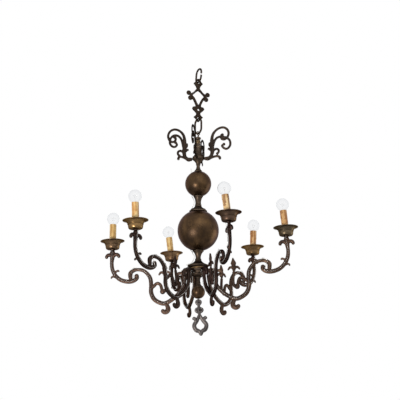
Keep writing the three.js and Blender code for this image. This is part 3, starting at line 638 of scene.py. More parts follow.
def glass_material(name, middle, rim, rough, ior):
    """Thin clear glass, a little darker where it is seen along its wall."""
    material, tree, shader = new_material(name)
    facing = add(tree, "LayerWeight", {"Blend": 0.35}).outputs["Facing"]
    connect(tree, shader, {
        "Base Color": blended(tree, ramp(tree, facing, 0.1, 0.9), middle, rim),
        "Transmission Weight": 1.0, "IOR": ior,
        "Roughness": ramp(tree, noise(tree, 90, 3), 0.3, 0.7, rough, rough + 0.03),
    })
    return material


def plain_material(name, base, tint, rough, metallic=0.0):
    """A finish of two close tones with a fine grain."""
    material, tree, shader = new_material(name)
    clouds = noise(tree, 160, 4)
    connect(tree, shader, {
        "Base Color": blended(tree, ramp(tree, clouds, 0.35, 0.65), colour(base), colour(tint)),
        "Roughness": ramp(tree, clouds, 0.3, 0.7, rough - 0.06, rough + 0.06), "Metallic": metallic,
        "Normal": bump(tree, 0.15, 0.0003, clouds),
    })
    return material


# In each patina the third tone lights the edges, partly as rubbed metal and partly as a painted highlight.
# The dark tone gives painted shade in hollows and on the sides.
IRON = patina("dark_bronze", (46, 38, 33), (58, 48, 40), (100, 86, 72), rough=0.46)
STEM = patina("stem_bronze", (62, 53, 46), (86, 73, 61), (136, 118, 98), seed=3)
OLIVE = patina("olive_brass", (92, 76, 56), (116, 96, 70), (158, 138, 106), rough=0.38, seed=5)
BALL = patina("ball_bronze", (63, 49, 37), (90, 69, 47), (122, 97, 68), (44, 35, 29),
              rough=0.32, bare=0.3, seed=7, streaks=0.5, edge=(0.62, 0.56, 0.58))
GREY = patina("grey_bronze", (66, 62, 62), (100, 95, 94), (176, 170, 168),
              rough=0.4, bare=0.65, seed=9, streaks=0.5)
BRASS = patina("clamp_brass", (96, 78, 56), (114, 92, 64), (166, 138, 100), rough=0.36, seed=11)
BRACKET_TONES = [
    ((50, 43, 39), (68, 57, 49)), ((46, 41, 38), (58, 51, 47)), ((42, 35, 31), (54, 44, 38)),
    ((46, 39, 34), (60, 50, 41)),
]
BRACKETS = patinas("bracket_bronze_", BRACKET_TONES, 31, worn=(108, 95, 80))
ARM_TONES = [
    ((60, 48, 43), (82, 64, 52)), ((66, 52, 47), (88, 70, 58)), ((62, 49, 43), (90, 68, 52)),
    ((70, 55, 49), (90, 71, 61)), ((50, 41, 38), (68, 55, 49)), ((58, 45, 42), (76, 60, 55)),
]
ARMS = patinas("arm_bronze_", ARM_TONES, 13, worn=(150, 130, 112), bare=0.65)
GOLDEN = ((106, 84, 58), (138, 110, 72), (204, 174, 124))
BROWN = ((78, 62, 52), (98, 79, 62), (156, 132, 106))
CUP_TONES = [
    ((84, 74, 60), (108, 94, 74), (166, 148, 120)), GOLDEN, ((112, 88, 66), (140, 112, 82), (196, 168, 130)),
    ((98, 78, 60), (120, 98, 72), (182, 156, 124)), GOLDEN, BROWN,
]
CUPS = patinas("cup_brass_", CUP_TONES, 23, dark=(44, 34, 26), rough=0.3, bare=0.5, edge=(0.32, 0.29, 0.26))
SLEEVE_TONES = [
    ((212, 168, 112), (194, 138, 78), (154, 98, 50), 0.8),
    ((222, 184, 130), (200, 148, 86), (150, 96, 46), 0.85),
    ((226, 196, 134), (206, 166, 98), (168, 122, 64), 0.45),
    ((220, 192, 130), (200, 160, 90), (158, 114, 58), 0.5),
    ((228, 200, 142), (212, 172, 106), (172, 114, 56), 0.55),
    ((232, 206, 158), (216, 174, 114), (124, 80, 42), 0.8),
]
SLEEVES = [sleeve_material(i, *tones) for i, tones in enumerate(SLEEVE_TONES)]
GLASS = glass_material("bulb_glass", (0.945, 0.948, 0.952, 1), (0.85, 0.86, 0.875, 1), 0.05, 1.04)
FLEX = glass_material("clear_flex", (0.86, 0.85, 0.82, 1), (0.5, 0.47, 0.44, 1), 0.25, 1.4)
PORCELAIN = plain_material("porcelain", (226, 222, 210), (236, 233, 224), 0.25)
CAP_METAL = plain_material("cap_brass", (176, 158, 118), (198, 180, 140), 0.3, 0.9)
PALE_WIRE = plain_material("filament_wire", (196, 196, 194), (214, 213, 210), 0.4, 0.2)
STEEL = plain_material("rod_steel", (120, 118, 114), (146, 144, 140), 0.35, 0.9)


# The hanging rings and the link

def ring_line(height, width, steps=96):
    """The centre line of an oval ring about its own middle, from the top round by +X."""
    bend = width / 2
    half = height / 2 - bend
    line = [Vector((bend * math.sin(a), 0, bend * math.cos(a) + half * math.copysign(1, math.cos(a))))
            for a in angles(steps)]
    return evenly(line + [line[0]], steps)[:-1]


WIRE = 3.5
STEM_WIRE = 3.55
STEM_WIRE_HALF = 3.5
RING_TURN = -48
STEM_RING_TURN = -40
TOP_RING = (53.4, 36)
STEM_RING = (57.6, 37)
RING_SIDES = 18
EYE_GAP = 1


def top_ring():
    """Bent from wire. Its ends face each other across a narrow gap on the right."""
    line = ring_line(*TOP_RING)
    start, gap, sprung, pinch = 22, 3, 12, 11
    count = len(line) - gap
    opened = [line[(start + gap + k) % len(line)] + Vector((0, 0.5 * max(0, 1 - k / sprung), 0))
              for k in range(count)]
    radii = [WIRE * (0.86 if k in (0, count - 1) else 1) for k in range(count)]
    radii[count - start - pinch] = WIRE * 0.72
    bottom = top_of("top_ring") - WIRE - TOP_RING[0]
    place = shift(0, 0, bottom) @ lean(4) @ shift(0, 0, TOP_RING[0] / 2) @ turn_z(RING_TURN)
    smooth_piece("ring_top", tube(opened, radii, RING_SIDES), IRON, "top_ring", place)


def stem_ring():
    middle = top_of("stem_ring") - STEM_WIRE - STEM_RING[0] / 2
    shell = tube(ring_line(*STEM_RING), STEM_WIRE, RING_SIDES, closed=True)
    place = shift(0, 0, middle) @ turn_z(STEM_RING_TURN)
    smooth_piece("ring_stem", shell, IRON, "stem_ring", place)


LINK_SPAN = 145.1
LINK_HALF = 37.5
LINK_EYE = 4.9
LINK_TURN = 31
LINK_DEPTH = 4
LINK_MOUTH = LINK_EYE + 1.6
LINK_EDGE = [
    (0.08, 0.096), (0.227, 0.059), (0.307, 0.014), (0.472, -0.038), (0.373, -0.072), (0.227, -0.124),
    (0.173, -0.176), (0.259, -0.211), (0.368, -0.249), (0.523, -0.289), (0.715, -0.318), (0.93, -0.34),
    (0.84, -0.41), (0.715, -0.429), (0.483, -0.52), (0.331, -0.604), (0.28, -0.651), (0.32, -0.672),
    (0.48, -0.686), (0.6, -0.713), (0.627, -0.737), (0.547, -0.768), (0.373, -0.81), (0.227, -0.848),
    (0.213, -0.875), (0.307, -0.92), (0.48, -0.963), (0.293, -1.003), (0.2, -1.044), (0.067, -1.089),
]
LINK_OPENING = [
    (0, -0.236), (0.221, -0.276), (0.411, -0.324), (0.595, -0.382), (0.469, -0.414), (0.28, -0.488),
    (0.117, -0.579), (0, -0.623),
]
LINK_STRUTS = [
    [(0, -0.185), (0.2, -0.226), (0.3, -0.262), (0.467, -0.307), (0.7, -0.341)],
    [(0.66, -0.39), (0.6, -0.421), (0.38, -0.504), (0.224, -0.592), (0.12, -0.655)],
]
LINK_KNOBS = [(1, -0.317), (0.832, -0.451)]
KNOT_LEVEL = -0.759


def cross_hole(x, z, radius, across=1.0, sides=28):
    return lofted([upright_ring(x, y, z, radius, sides, across) for y in (20, -20)])


def diamond(z, half, height, depth):
    """A four sided boss with a raised middle, like a cut stone."""
    rings = []
    for share, y in ((0.25, 1), (0.72, 0.8), (1, 0.35), (1, -0.35), (0.72, -0.8), (0.25, -1)):
        corners = [(half * share, z), (0, z + height * share), (-half * share, z), (0, z - height * share)]
        rings.append([Vector((x, y * depth, h)) for x, h in corners])
    return lofted(rings)


def link_point(share):
    x, z = share
    return x * LINK_HALF, z * LINK_SPAN


def slab(edge, depth):
    """A flat plate across the XZ plane from its right edge, given from the top down."""
    right = smooth_through([(x, 0, z) for x, z in map(link_point, edge)], 4)
    left = [Vector((-p.x, 0, p.z)) for p in reversed(right) if p.x > 0.01]
    return lofted([[p + Vector((0, y, 0)) for p in right + left] for y in (depth, -depth)])


def flared_hole(z, radius, mouth, depth=5, sides=28):
    """A cutter that is narrow in the middle of a plate and wide at its faces."""
    levels = ((mouth, depth), (radius, 0), (mouth, -depth))
    return lofted([upright_ring(0, y, z, r, sides) for r, y in levels])


def suspension_link():
    depth = LINK_DEPTH
    shells = [slab(LINK_EDGE, depth - 0.6)]
    for eye, up in ((0, 1), (-LINK_SPAN, -1)):
        shells.append(blob(0, eye, 10.4, depth + 0.6))
        shells.append(diamond(eye - up * 5.4, 16.6, 16.6, depth + 1))
    for side in (-1, 1):
        for points, half in zip(LINK_STRUTS, (3.9, 4.9)):
            line = [(side * x, z) for x, z in map(link_point, points)]
            shells.append(strand(line, [[0, half], [1, half]], depth + 0.4))
        for x, z in map(link_point, LINK_KNOBS):
            shells.append(blob(side * x, z, 9.4, 5.2))
        shells.append(blob(side * 15.4, -105.5, 8.2, 5.2))
    shells.append(blob(0, -98.5, 8, 4.6))
    shells.append(blob(0, -118, 9, 4.8))
    opening = [(x, z - 0.001) for x, z in LINK_OPENING]
    holes = [slab(opening, 12), cross_hole(0.6, KNOT_LEVEL * LINK_SPAN, 4.8, 0.84),
             flared_hole(0, LINK_EYE, LINK_MOUTH), flared_hole(-LINK_SPAN, LINK_EYE, LINK_MOUTH)]
    eye_top = top_of("stem_ring") - STEM_WIRE_HALF + (LINK_EYE - STEM_WIRE_HALF - EYE_GAP) + LINK_SPAN
    place = shift(0, 0, eye_top) @ turn_z(LINK_TURN)
    cast_once("link", shells, IRON, "suspension_link", place, holes)


# The turned stem

def stem_eye():
    top = top_of("stem_eye")
    eye = tube(upright_ring(0, 0, top - 8.4, 6.6, 40), 1.8, closed=True)
    collar = turned([
        [(2.2, 14.2), (2.4, 18), (3, 21.8)],
        [(3.2, 22.2), (5.4, 22.7), (6.4, 23.6)],
        [(6.4, 24.2), (9.5, 25.8), (10.4, 28.4), (9.6, 31), (6.8, 32.6)],
        [(6, 33.4), (6.2, 34.3)],
    ], top, sides=48)
    shell = merged([moved(eye, turn_z(STEM_RING_TURN + 90)), collar])
    smooth_piece("eye_and_collar", shell, STEM, "stem_eye")
    vase = turned([
        [(6.4, 34.2), (6.8, 34.8), (8.3, 38), (8.6, 42.4), (7.8, 46.6), (6.2, 49.2)],
    ], top, sides=48)
    smooth_piece("vase", vase, OLIVE, "stem_eye", replace=False)
    column = turned([
        [(6.2, 49.1), (7.6, 50.4), (7.6, 52.2), (6.6, 52.8)],
        [(6.7, 53.2), (7.1, 55.4), (8, 57.8), (9.2, 59.6)],
        [(9.5, 60), (9.5, 62.7)],
    ], top, sides=48)
    smooth_piece("column", column, STEM, "stem_eye", replace=False)


def ball(name, node, radius, opening=BALL_OPENING, sides=96, steps=40):
    """A spun ball, flat inside the necks that it is held between."""
    start = math.asin(opening / radius)
    line = arc(radius, start, math.pi - 2 * start, steps)
    shell = turned([line], ball_centre(node), sides, ROD_BORE, 2)
    smooth_piece(name, shell, BALL, node)


def ball_radius(node):
    low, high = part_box(node)
    return (high.x - low.x) / 2 / MM


def ball_seat(node, ball, start, end, side=-1, steps=6):
    """A seat along a ball between two distances off the axis, above it, or below it with side 1."""
    depth, radius = top_of(node) - ball_centre(ball), BALLS[ball] + SEAT_GAP
    across = [start + (end - start) * i / steps for i in range(steps + 1)]
    return [(r, depth + side * math.sqrt(radius * radius - r * r)) for r in across]


def stem_piece(name, node, runs, sides=72):
    """A turned piece on the tie rod, from runs below its top."""
    smooth_piece(name, turned(runs, top_of(node), sides, ROD_BORE), STEM, node)


def ball_centre(node):
    low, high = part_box(node)
    return (low.z + high.z) / 2 / MM


def crown_hub():
    stem_piece("hub", "crown_hub", [
        [(9.5, 0), (9.6, 3)],
        [(8.8, 3.6), (9.6, 9), (10.8, 15), (12.8, 21.6)],
        [(13.6, 22.2), (14.2, 23.6), (13.6, 25)],
        [(12.8, 25.6), (14.4, 30), (17.8, 34.6), (19, 36)],
        [(19.6, 36.6), (21.2, 38.4), (21.5, 41), (21.5, 45), (21.2, 47.4), (19.6, 49)],
        [(18.6, 49.4), (16.4, 51.4), (12.4, 56), (8.8, 62), (7.4, 65.6)],
        [(7.8, 66), (8.8, 67.4), (7.8, 68.8)],
        [(6.8, 69.2), (6.4, 74), (7.3, 80), (9.8, 86.4), (14.2, 92)],
        [(14.4, 92.4), (14.6, 93)],
        ball_seat("crown_hub", "small_ball", 14.4, ROD_BORE + 0.5),
    ])


def middle_neck():
    stem_piece("neck_middle", "middle_neck", [
        ball_seat("middle_neck", "small_ball", ROD_BORE + 0.5, 17, 1),
        [(17.4, -1.6), (17.6, -0.4), (17, 1)],
        [(16.4, 1.4), (13.6, 6.4), (11.6, 12.6), (10.2, 21), (10.6, 29.6)],
        [(11.2, 30.2), (12.6, 31.8), (11.4, 33.4)],
        [(11.2, 34), (13.4, 38.6), (18.6, 44), (25.6, 47.8)],
        [(26.8, 48.2), (27.8, 49.6), (26.8, 51)],
        [(27, 51.4), (30, 52.6), (32.5, 54.6)],
        [(32.5, 54.6), (32.5, 57.6)],
        ball_seat("middle_neck", "big_ball", 32, ROD_BORE + 0.5),
    ])


def lower_neck():
    stem_piece("neck_and_bell", "lower_neck", [
        ball_seat("lower_neck", "big_ball", ROD_BORE + 0.5, 19.4, 1),
        [(19.8, -1.4), (20, -0.2), (19.2, 1.2)],
        [(18.6, 1.6), (14.8, 6.6), (11.8, 12.4), (9.8, 19), (9.3, 25), (9.6, 28.4)],
        [(10.2, 28.8), (11.8, 30.4), (10.8, 32)],
        [(10.8, 32.4), (13, 37), (18.6, 42.6), (26.8, 47.6), (35, 51.2)],
        [(36.2, 51.6), (38.2, 53), (38.5, 55), (37.6, 56.8)],
        [(36, 57.2), (34.6, 59)],
    ])


def clamp_and_plate():
    shell = turned([[(31.4, 0), (33, 0.7), (33.5, 2.75), (33, 4.8), (31.4, 5.5)]], CLAMP_TOP, bore=PLATE_BORE)
    smooth_piece("clamp", shell, BRASS, "clamp_ring", ON_RING)
    plate = turned([
        [(33.4, 0), (34, 0.6)], [(34, 7.4), (33.4, 8)], [(27, 8), (26.2, 8.8)], [(26, 9.4), (26, 15.4)],
    ], PLATE_TOP, bore=PLATE_BORE)
    obj = new_object("plate", plate)
    slot_floor = TANG_LEVEL - TANG_HEIGHT / 2 - SEAT_GAP
    for i in range(ARM_COUNT):
        slot = block((23, -5, slot_floor), (50, 5, PLATE_TOP + 5))
        cut(obj, moved(slot, turn_z(360 * i / ARM_COUNT)))
    put(obj, ON_RING)
    mark_wear_and_shade(obj)
    shade(obj, STEM)
    dress(obj, "arm_plate")


def lower_stem():
    stem_piece("cup_under_plate", "collar_cup", [
        [(25.8, 0), (27, 1), (26.8, 3.4)], [(25.8, 4), (22.6, 7.2), (17.6, 9.6)], [(16.8, 10), (14, 11.5)],
    ])
    stem_piece("spindle", "lower_spindle", [
        [(9.8, 0), (10, 2.2), (8.6, 4.2)], [(8, 4.8), (7.3, 11), (7.4, 17)],
        [(8, 17.6), (9.2, 19), (8, 20.4)],
        [(8, 21), (9.6, 27), (13.4, 32.4)], [(14, 32.8), (16.8, 34.2), (17.5, 36.4)],
        ball_seat("lower_spindle", "pendant_ball", 17.4, ROD_BORE + 0.4),
    ], 56)
    ball("ball_pendant", "pendant_ball", BALLS["pendant_ball"], ROD_BORE, 64, 24)


DROP_HEIGHT = 132
DROP_HALF = 28.5
DROP_DEPTH = 4


def drop_ornament():
    height, half, depth = DROP_HEIGHT, DROP_HALF, DROP_DEPTH
    knots = ((-height * 0.095, 7, 8.4), (-height * 0.31, 11, 8.4))
    loop_top, loop_middle = -height * 0.47, -height * 0.72
    shells = [
        turned([[(3, -7), (3, 1)]], 0, 16),
        strand([(0, -1.5), (0, -30), (0, loop_top - 4)], [[0, 5], [1, 5.5]], depth, FLAT),
    ]
    pits = []
    for z, reach, tall in knots:
        for side in (-1, 1):
            shells.append(strand(
                [(side * 2, z + 9), (side * reach, z + 4), (side * reach, z - 3), (side * 2, z - 10)],
                [[0, 3.2], [0.5, 4.6], [1, 3.2]], depth + 0.9, ROUND))
            pits.append(moved(cross_hole(1.5, z, 2.6, 1.1), shift(0, side * 21.4, 0)))
        shells.append(blob(0, z, tall, depth))
    for side in (-1, 1):
        shells.append(strand(
            [(0, loop_top + 6), (side * 9, loop_top - 13), (side * (half - 7), loop_middle + 1),
             (side * 16, loop_middle - 15), (side * 5, -height + 16), (0, -height + 1.5)],
            [[0, 5], [0.35, 7.4], [0.75, 7.8], [1, 4.8]], depth))
        shells.append(strand(
            [(side * 17, loop_middle + 12), (side * 16, loop_top - 9), (side * 20, loop_top - 5),
             (side * 24, loop_top - 12)],
            [[0, 4.4], [0.5, 5.2], [1, 4.8]], depth + 0.4, ROUND))
    shells.append(blob(0, -height + 6, 6, depth))
    top = ball_centre("pendant_ball") - BALLS["pendant_ball"] - SEAT_GAP
    place = shift(0, 0, top) @ lean(-4.5) @ turn_z(VIEW_TURN)
    cast_once("drop", shells, GREY, "drop_ornament", place, pits)


# The brackets of the crown

BRACKET_REACH = 114.5
BRACKET_STRAND = 4.6
BRACKET_DEPTH = 2.4
BRACKET_RISE = [115, 97, 119, 97]
BRACKET_SAG = [8.5, -3, -10, 3]
BRACKET_FOOT = [1, 1, 0.86, 1]
BRACKET_ROOT = (HUB_RIM + SEAT_GAP) / BRACKET_REACH
TRUNK = [
    (BRACKET_ROOT, 0), (BRACKET_ROOT + 0.04, 0), (0.35, 0.01), (0.43, 0.08), (0.463, 0.2), (0.46, 0.35),
    (0.452, 0.5), (0.455, 0.66),
]
UPPER_SCROLL = [
    (0.45, 0.5), (0.455, 0.66), (0.49, 0.79), (0.56, 0.89), (0.66, 0.965), (0.79, 1), (0.9, 0.97),
    (0.975, 0.89), (1, 0.79), (0.975, 0.69), (0.925, 0.625), (0.855, 0.59), (0.785, 0.605), (0.75, 0.665),
    (0.765, 0.73), (0.8, 0.765),
]
LOWER_SCROLL = [
    (0.475, 0.36), (0.505, 0.48), (0.54, 0.58), (0.595, 0.67), (0.68, 0.725), (0.79, 0.735), (0.89, 0.71),
    (0.965, 0.645), (1, 0.555), (0.995, 0.455), (0.94, 0.375), (0.87, 0.34), (0.79, 0.37), (0.75, 0.43),
    (0.775, 0.485),
]
FOOT = [
    (BRACKET_ROOT, -0.035), (BRACKET_ROOT + 0.04, -0.035), (0.33, -0.05), (0.43, 0), (0.55, 0.035),
    (0.65, 0.035), (0.71, -0.01), (0.7, -0.08),
]
TWIG = [(0.46, 0.2), (0.53, 0.26), (0.6, 0.285), (0.665, 0.25), (0.67, 0.18), (0.62, 0.12)]
BRACKET_THORNS = [[(0.45, 0.36), (0.385, 0.42), (0.37, 0.52)], [(0.44, 0.24), (0.36, 0.3), (0.31, 0.28)]]


def bracket_shells(rise, sag, foot):
    w, depth = BRACKET_STRAND, BRACKET_DEPTH
    place = lambda r, h: (r * BRACKET_REACH, h * rise)

    def bent(r, h):
        x, z = place(r, h)
        share = min(1, max(0, (r - LOWER_SCROLL[1][0]) / 0.35))
        return x + sag * 0.7 * share, z - sag * share

    def lifted(r, h):
        past = max(0, r - 0.3)
        x, z = place(r - past * (1 - foot), h)
        return x, z + max(0, -sag) * past * 1.8

    def run(points, widths, how=place, shape=ROUND, thick=depth):
        return strand([how(*p) for p in points], widths, thick, shape)

    shells = [
        run(TRUNK, [[0, w], [0.3, w * 1.3], [0.45, 7.6], [0.8, 7.6], [1, w * 1.5]],
            shape=RIDGED, thick=depth * 1.4),
        run(UPPER_SCROLL, [[0, w * 1.5], [0.3, w], [0.9, w], [1, w * 1.2]]),
        run(LOWER_SCROLL, [[0, w * 1.3], [0.2, w], [0.9, w * 0.95], [1, w]], bent),
        run(FOOT, [[0, w], [0.7, w], [1, w * 1.15]], lifted),
        run(TWIG, [[0, w * 1.1], [1, w * 0.9]]),
        blob(*place(0.795, 0.75), w * 1.3, 3),
        blob(*bent(0.8, 0.49), w * 1.25, 3),
        blob(*place(0.63, 0.13), w * 1.2, 2.9),
    ]
    pointed = [[0, w * 1.4], [0.6, w * 1.1], [1, w * 0.7]]
    return shells + [run(thorn, pointed, shape=RIDGED) for thorn in BRACKET_THORNS]


def crown_brackets():
    level = top_of("crown_hub") - HUB_RIM_DROP - HUB_RIM_HALF
    for i, shape in enumerate(zip(BRACKET_RISE, BRACKET_SAG, BRACKET_FOOT)):
        number = str(i + 1)
        place = shift(0, 0, level) @ turn_z(90 * i)
        cast_once("bracket_" + number, bracket_shells(*shape), BRACKETS[i], "crown_bracket_" + number, place)


# The arms with what they carry

OUTER_SCROLL = [
    (1, 0.97), (1.003, 0.77), (1.012, 0.48), (1.003, 0.26), (0.969, 0.05), (0.903, -0.12), (0.81, -0.19),
    (0.745, -0.15), (0.717, -0.073), (0.72, -0.01),
]
INNER_SCROLL = [
    (0.79, -0.13), (0.796, -0.02), (0.794, 0.09), (0.751, 0.19), (0.692, 0.2), (0.642, 0.155), (0.598, 0.04),
    (0.564, -0.128), (0.555, -0.367), (0.557, -0.615), (0.526, -0.826), (0.467, -0.954), (0.408, -1),
    (0.336, -0.917), (0.262, -0.761), (0.193, -0.509), (0.165, -0.216), (0.156, -0.04),
]
LEAF_BRANCH = [
    (0.555, -0.46), (0.522, -0.4), (0.5, -0.335), (0.475, -0.315), (0.447, -0.38), (0.435, -0.5),
    (0.43, -0.58),
]
INNER_BRANCH = [(0.394, -0.09), (0.384, -0.3), (0.382, -0.46), (0.392, -0.57), (0.415, -0.615)]
STANDING_BUD = [(0.389, 0.375), (0.393, 0.19), (0.395, 0.06), (0.396, -0.11)]
HANGING_CURL = [
    (0.402, -0.99), (0.384, -1.05), (0.369, -1.14), (0.371, -1.235), (0.398, -1.285), (0.425, -1.25),
    (0.432, -1.18),
]
ROOT_SCROLL = [(0.175, -0.28), (0.187, -0.09), (0.213, -0.03), (0.245, -0.06), (0.26, -0.15), (0.25, -0.22)]
OUTER_THORNS = [[(0.985, 0.13), (0.962, 0.19), (0.938, 0.22), (0.926, 0.17)],
                [(0.94, -0.06), (0.985, 0.015), (1.012, 0.01), (1.022, -0.05)]]


def arm_point(share):
    r, h = share
    return r * ARM_REACH, h * (ARM_RISE if h > 0 else ARM_DROP)


def arm_strand(shares, widths, depth, shape=RIDGED):
    return strand([arm_point(s) for s in shares], widths, depth, shape)


def arm_shells():
    """One arm: two trunks, a fleuron, thorns, a leaf branch, a bud, a hanging curl and a root scroll."""
    w, d = ARM_HALF_WIDTH, ARM_HALF_DEPTH
    shells = [
        arm_strand(OUTER_SCROLL, [
            [0, w * 1.45], [0.1, w * 1.28], [0.22, w * 0.92], [0.5, w], [0.85, w * 1.08], [1, w * 0.95],
        ], d),
        arm_strand(INNER_SCROLL, [
            [0, w], [0.06, w * 1.08], [0.14, w * 0.82], [0.3, w], [0.5, w * 1.1], [1, w * 0.95],
        ], d),
        arm_strand(LEAF_BRANCH, [[0, 5.6], [1, 5.8]], d * 0.8),
        arm_strand(INNER_BRANCH, [[0, 4.8], [1, 5.8]], d * 0.8),
        arm_strand(STANDING_BUD, [
            [0, 2], [0.14, 4.4], [0.38, 10.4], [0.56, 7.6], [0.7, 5.2], [0.86, 6.6], [1, 4.2],
        ], 4),
        arm_strand(HANGING_CURL, [[0, 5.8], [0.45, 9.2], [0.8, 8.6], [1, 6.6]], d * 0.9),
        arm_strand(ROOT_SCROLL, [[0, 5], [0.7, 5.6], [1, 6.8]], d * 0.9),
        block((23.3, -4.7, -6), (ARM_REACH * 0.2, 4.7, 6)),
    ]
    for thorn in OUTER_THORNS:
        shells.append(arm_strand(thorn, [[0, 5.2], [0.5, 4], [1, 3]], 3.8, ROUND))
    for x, z, radius in ((0.722, -0.02, 8.6), (0.252, -0.2, 7.6), (0.424, -0.6, 10.2)):
        shells.append(blob(x * ARM_REACH, z * ARM_DROP, radius, d * 1.05))
    for side in (-1, 1):
        shells.append(arm_strand(
            [(1, 0.71), (1 + side * 0.028, 0.795), (1 + side * 0.056, 0.8), (1 + side * 0.072, 0.74),
             (1 + side * 0.064, 0.68)],
            [[0, 5.4], [0.4, 6.8], [1, 6.2]], 5.8, ROUND))
        shells.append(arm_strand(
            [(0.396, 0), (0.396 + side * 0.04, 0.045), (0.396 + side * 0.07, -0.05)],
            [[0, 5.2], [0.6, 4.4], [1, 2.8]], 3.6, ROUND))
    boss = turned([
        [(5, 14), (4.4, 9), (5.2, 5)], [(7, 4.4), (BOSS_RADIUS, 3), (BOSS_RADIUS, 0)],
    ], ARM_RISE, 24)
    shells.append(moved(boss, shift(ARM_REACH, 0, 0)))
    return shells


def cup_shell(sides=72):
    """A spun cup: rolled rim, flare, bowl, step and foot, with the hole for the candle's tube."""
    shell = turned([
        [(43.5, -0.1), (44.4, 0.6), (44.1, 1.6)],
        [(43.6, 1.8), (39, 2.8), (34.6, 4.8), (31, 7.8), (28.6, 11.4), (27, 14)],
        [(27.2, 14.2), (27.8, 15.2), (26.8, 16.4)],
        [(26, 16.8), (25.8, 21.4), (25, 26.4), (23.4, 30), (21, CUP_DEPTH)],
        [(20.6, CUP_DEPTH), (6.2, CUP_DEPTH)],
        [(6.2, 30.1), (20.2, 30.1)],
        [(20.2, 30.1), (22.4, 28.6), (23.8, 24.6), (24.6, 17.6)],
        [(25.6, 13.4), (27.4, 10.2), (29.6, 6.8), (33.8, 3.4), (38.6, 1.4), (42.4, 0.4)],
    ], CUP_DEPTH, sides, span=3)
    return looped(shell, sides)


def drips(seed, count=9):
    """Angle, length and width of each wax run down one sleeve."""
    runs, value = [], 0.37 + seed * 0.713
    for k in range(count):
        value = (value * 3.97 * (1 - value % 1)) % 1 if k else value % 1
        length = 14 + 52 * ((value * 7.3 + k * 0.37) % 1)
        runs.append((2 * math.pi * (k + 0.6 * value) / count, length, 0.16 + 0.1 * value))
    return runs


def drip_height(runs, angle, depth):
    """How far the wax stands out at an angle and a depth below the sleeve's top, from 0 to 1."""
    most = 0.0
    for at, length, width in runs:
        off = (angle - at + math.pi) % (2 * math.pi) - math.pi
        swell = 1 + 0.5 * math.exp(-((depth - length + 3) / 3.5) ** 2)
        end = min(1, max(0, (length - depth) / 3))
        most = max(most, math.exp(-(off / (width * swell)) ** 2) * end * swell / 1.5)
    return most


def sleeve(i, sides=72, rows=46):
    runs = drips(i)
    inner = CANDLE_RADIUS - 1.2
    bottom = CUP_WALL + CANDLE_LIFT
    top = bottom + CANDLE_LENGTH
    rings, drip = [], []
    for row in range(rows + 1):
        depth = CANDLE_LENGTH * row / rows
        ring = []
        for a in angles(sides):
            out = drip_height(runs, a, depth)
            r = CANDLE_RADIUS - 0.4 + 0.9 * out - (0.3 if row == 0 else 0)
            ring.append(Vector((r * math.cos(a), r * math.sin(a), top - depth)))
            drip.append(out)
        rings.append(ring)
    for z in (bottom, top - 20, top - 0.4):
        rings.append(level_ring(inner, z, sides))
        drip += [0.3] * sides
    number = str(i + 1)
    obj = new_object("sleeve_" + number, looped(lofted(rings), sides))
    store(obj.data, "drip", drip)
    put(obj, candle_place(i))
    shade(obj, SLEEVES[i], 60)
    dress(obj, "candle_sleeve_" + number)


def holder(i, sides=40):
    tube_length = CUP_WALL + CANDLE_LIFT + CANDLE_LENGTH - HOLDER_INSET - HOLDER_LENGTH
    top = tube_length + HOLDER_LENGTH
    floor = HOLDER_LENGTH - 9
    shell = looped(turned([
        [(9.2, 0), (9.8, 0.6)], [(9.8, HOLDER_LENGTH)], [(CANDLE_TUBE, HOLDER_LENGTH)], [(CANDLE_TUBE, top)],
        [(0.6, top)], [(0.6, floor)], [(7.7, floor)], [(7.7, 0.6), (8.3, 0)],
    ], top, sides), sides)
    number = str(i + 1)
    smooth_piece("holder_" + number, shell, PORCELAIN, "lamp_holder_" + number, candle_place(i))


def bulb(i):
    number = str(i + 1)
    node = "bulb_" + number
    place = candle_place(i) @ shift(0, 0, CUP_WALL + CANDLE_LIFT + CANDLE_LENGTH + BULB_LIFT)
    inner_radius = BULB_RADIUS - 0.8
    outer, inner = (arc(r, 0, BULB_TURN, 22)[1:] for r in (BULB_RADIUS, inner_radius))
    shell = turned([[(0.01, -BULB_RADIUS), *outer, (8.4, 23.2), (7.9, 25.4)],
                    [(7.1, 25.4), (7.6, 23.2), *reversed(inner), (0.01, -inner_radius)]], 0, 56, span=2)
    smooth_piece("glass_" + number, shell, GLASS, node, place, sharp=80)
    threads = []
    for k in range(6):
        threads += [(6.9, 27.2 + 2.4 * k), (6.3, 28.4 + 2.4 * k)]
    cap = turned([
        [(6.4, 24.6), (6.9, 25.4)], threads + [(6.2, 42.2)], [(5, 44.6), (3.2, 47)], [(2.2, 47.4), (2, 50)],
    ], 0, 40, span=3)
    smooth_piece("cap_" + number, cap, CAP_METAL, node, place, False)
    stem = turned([[(4.2, 24), (2, 17), (1.4, 10), (2, 6)], [(1.6, 5), (0.2, 4.4)]], 0, 20)
    smooth_piece("glass_stem_" + number, stem, GLASS, node, place, replace=False)
    legs = [[(side * 1.1, 0, -8), (side * 4, 0, -3), (side * 7.4, 0, 1)] for side in (-1, 1)]
    wires = [tube(smooth_through(leg, 6), 0.22, 6) for leg in legs]
    coil, steps = [], 60
    for k in range(steps + 1):
        x, wave = -7.4 + 14.8 * k / steps, k * 1.3
        rise = 1 + 1.6 * math.sin(math.pi * k / steps)
        coil.append(Vector((x, 0.5 * math.cos(wave), rise + 0.5 * math.sin(wave))))
    wires.append(tube(coil, 0.16, 6))
    smooth_piece("filament_" + number, merged(wires), PALE_WIRE, node, place, False)


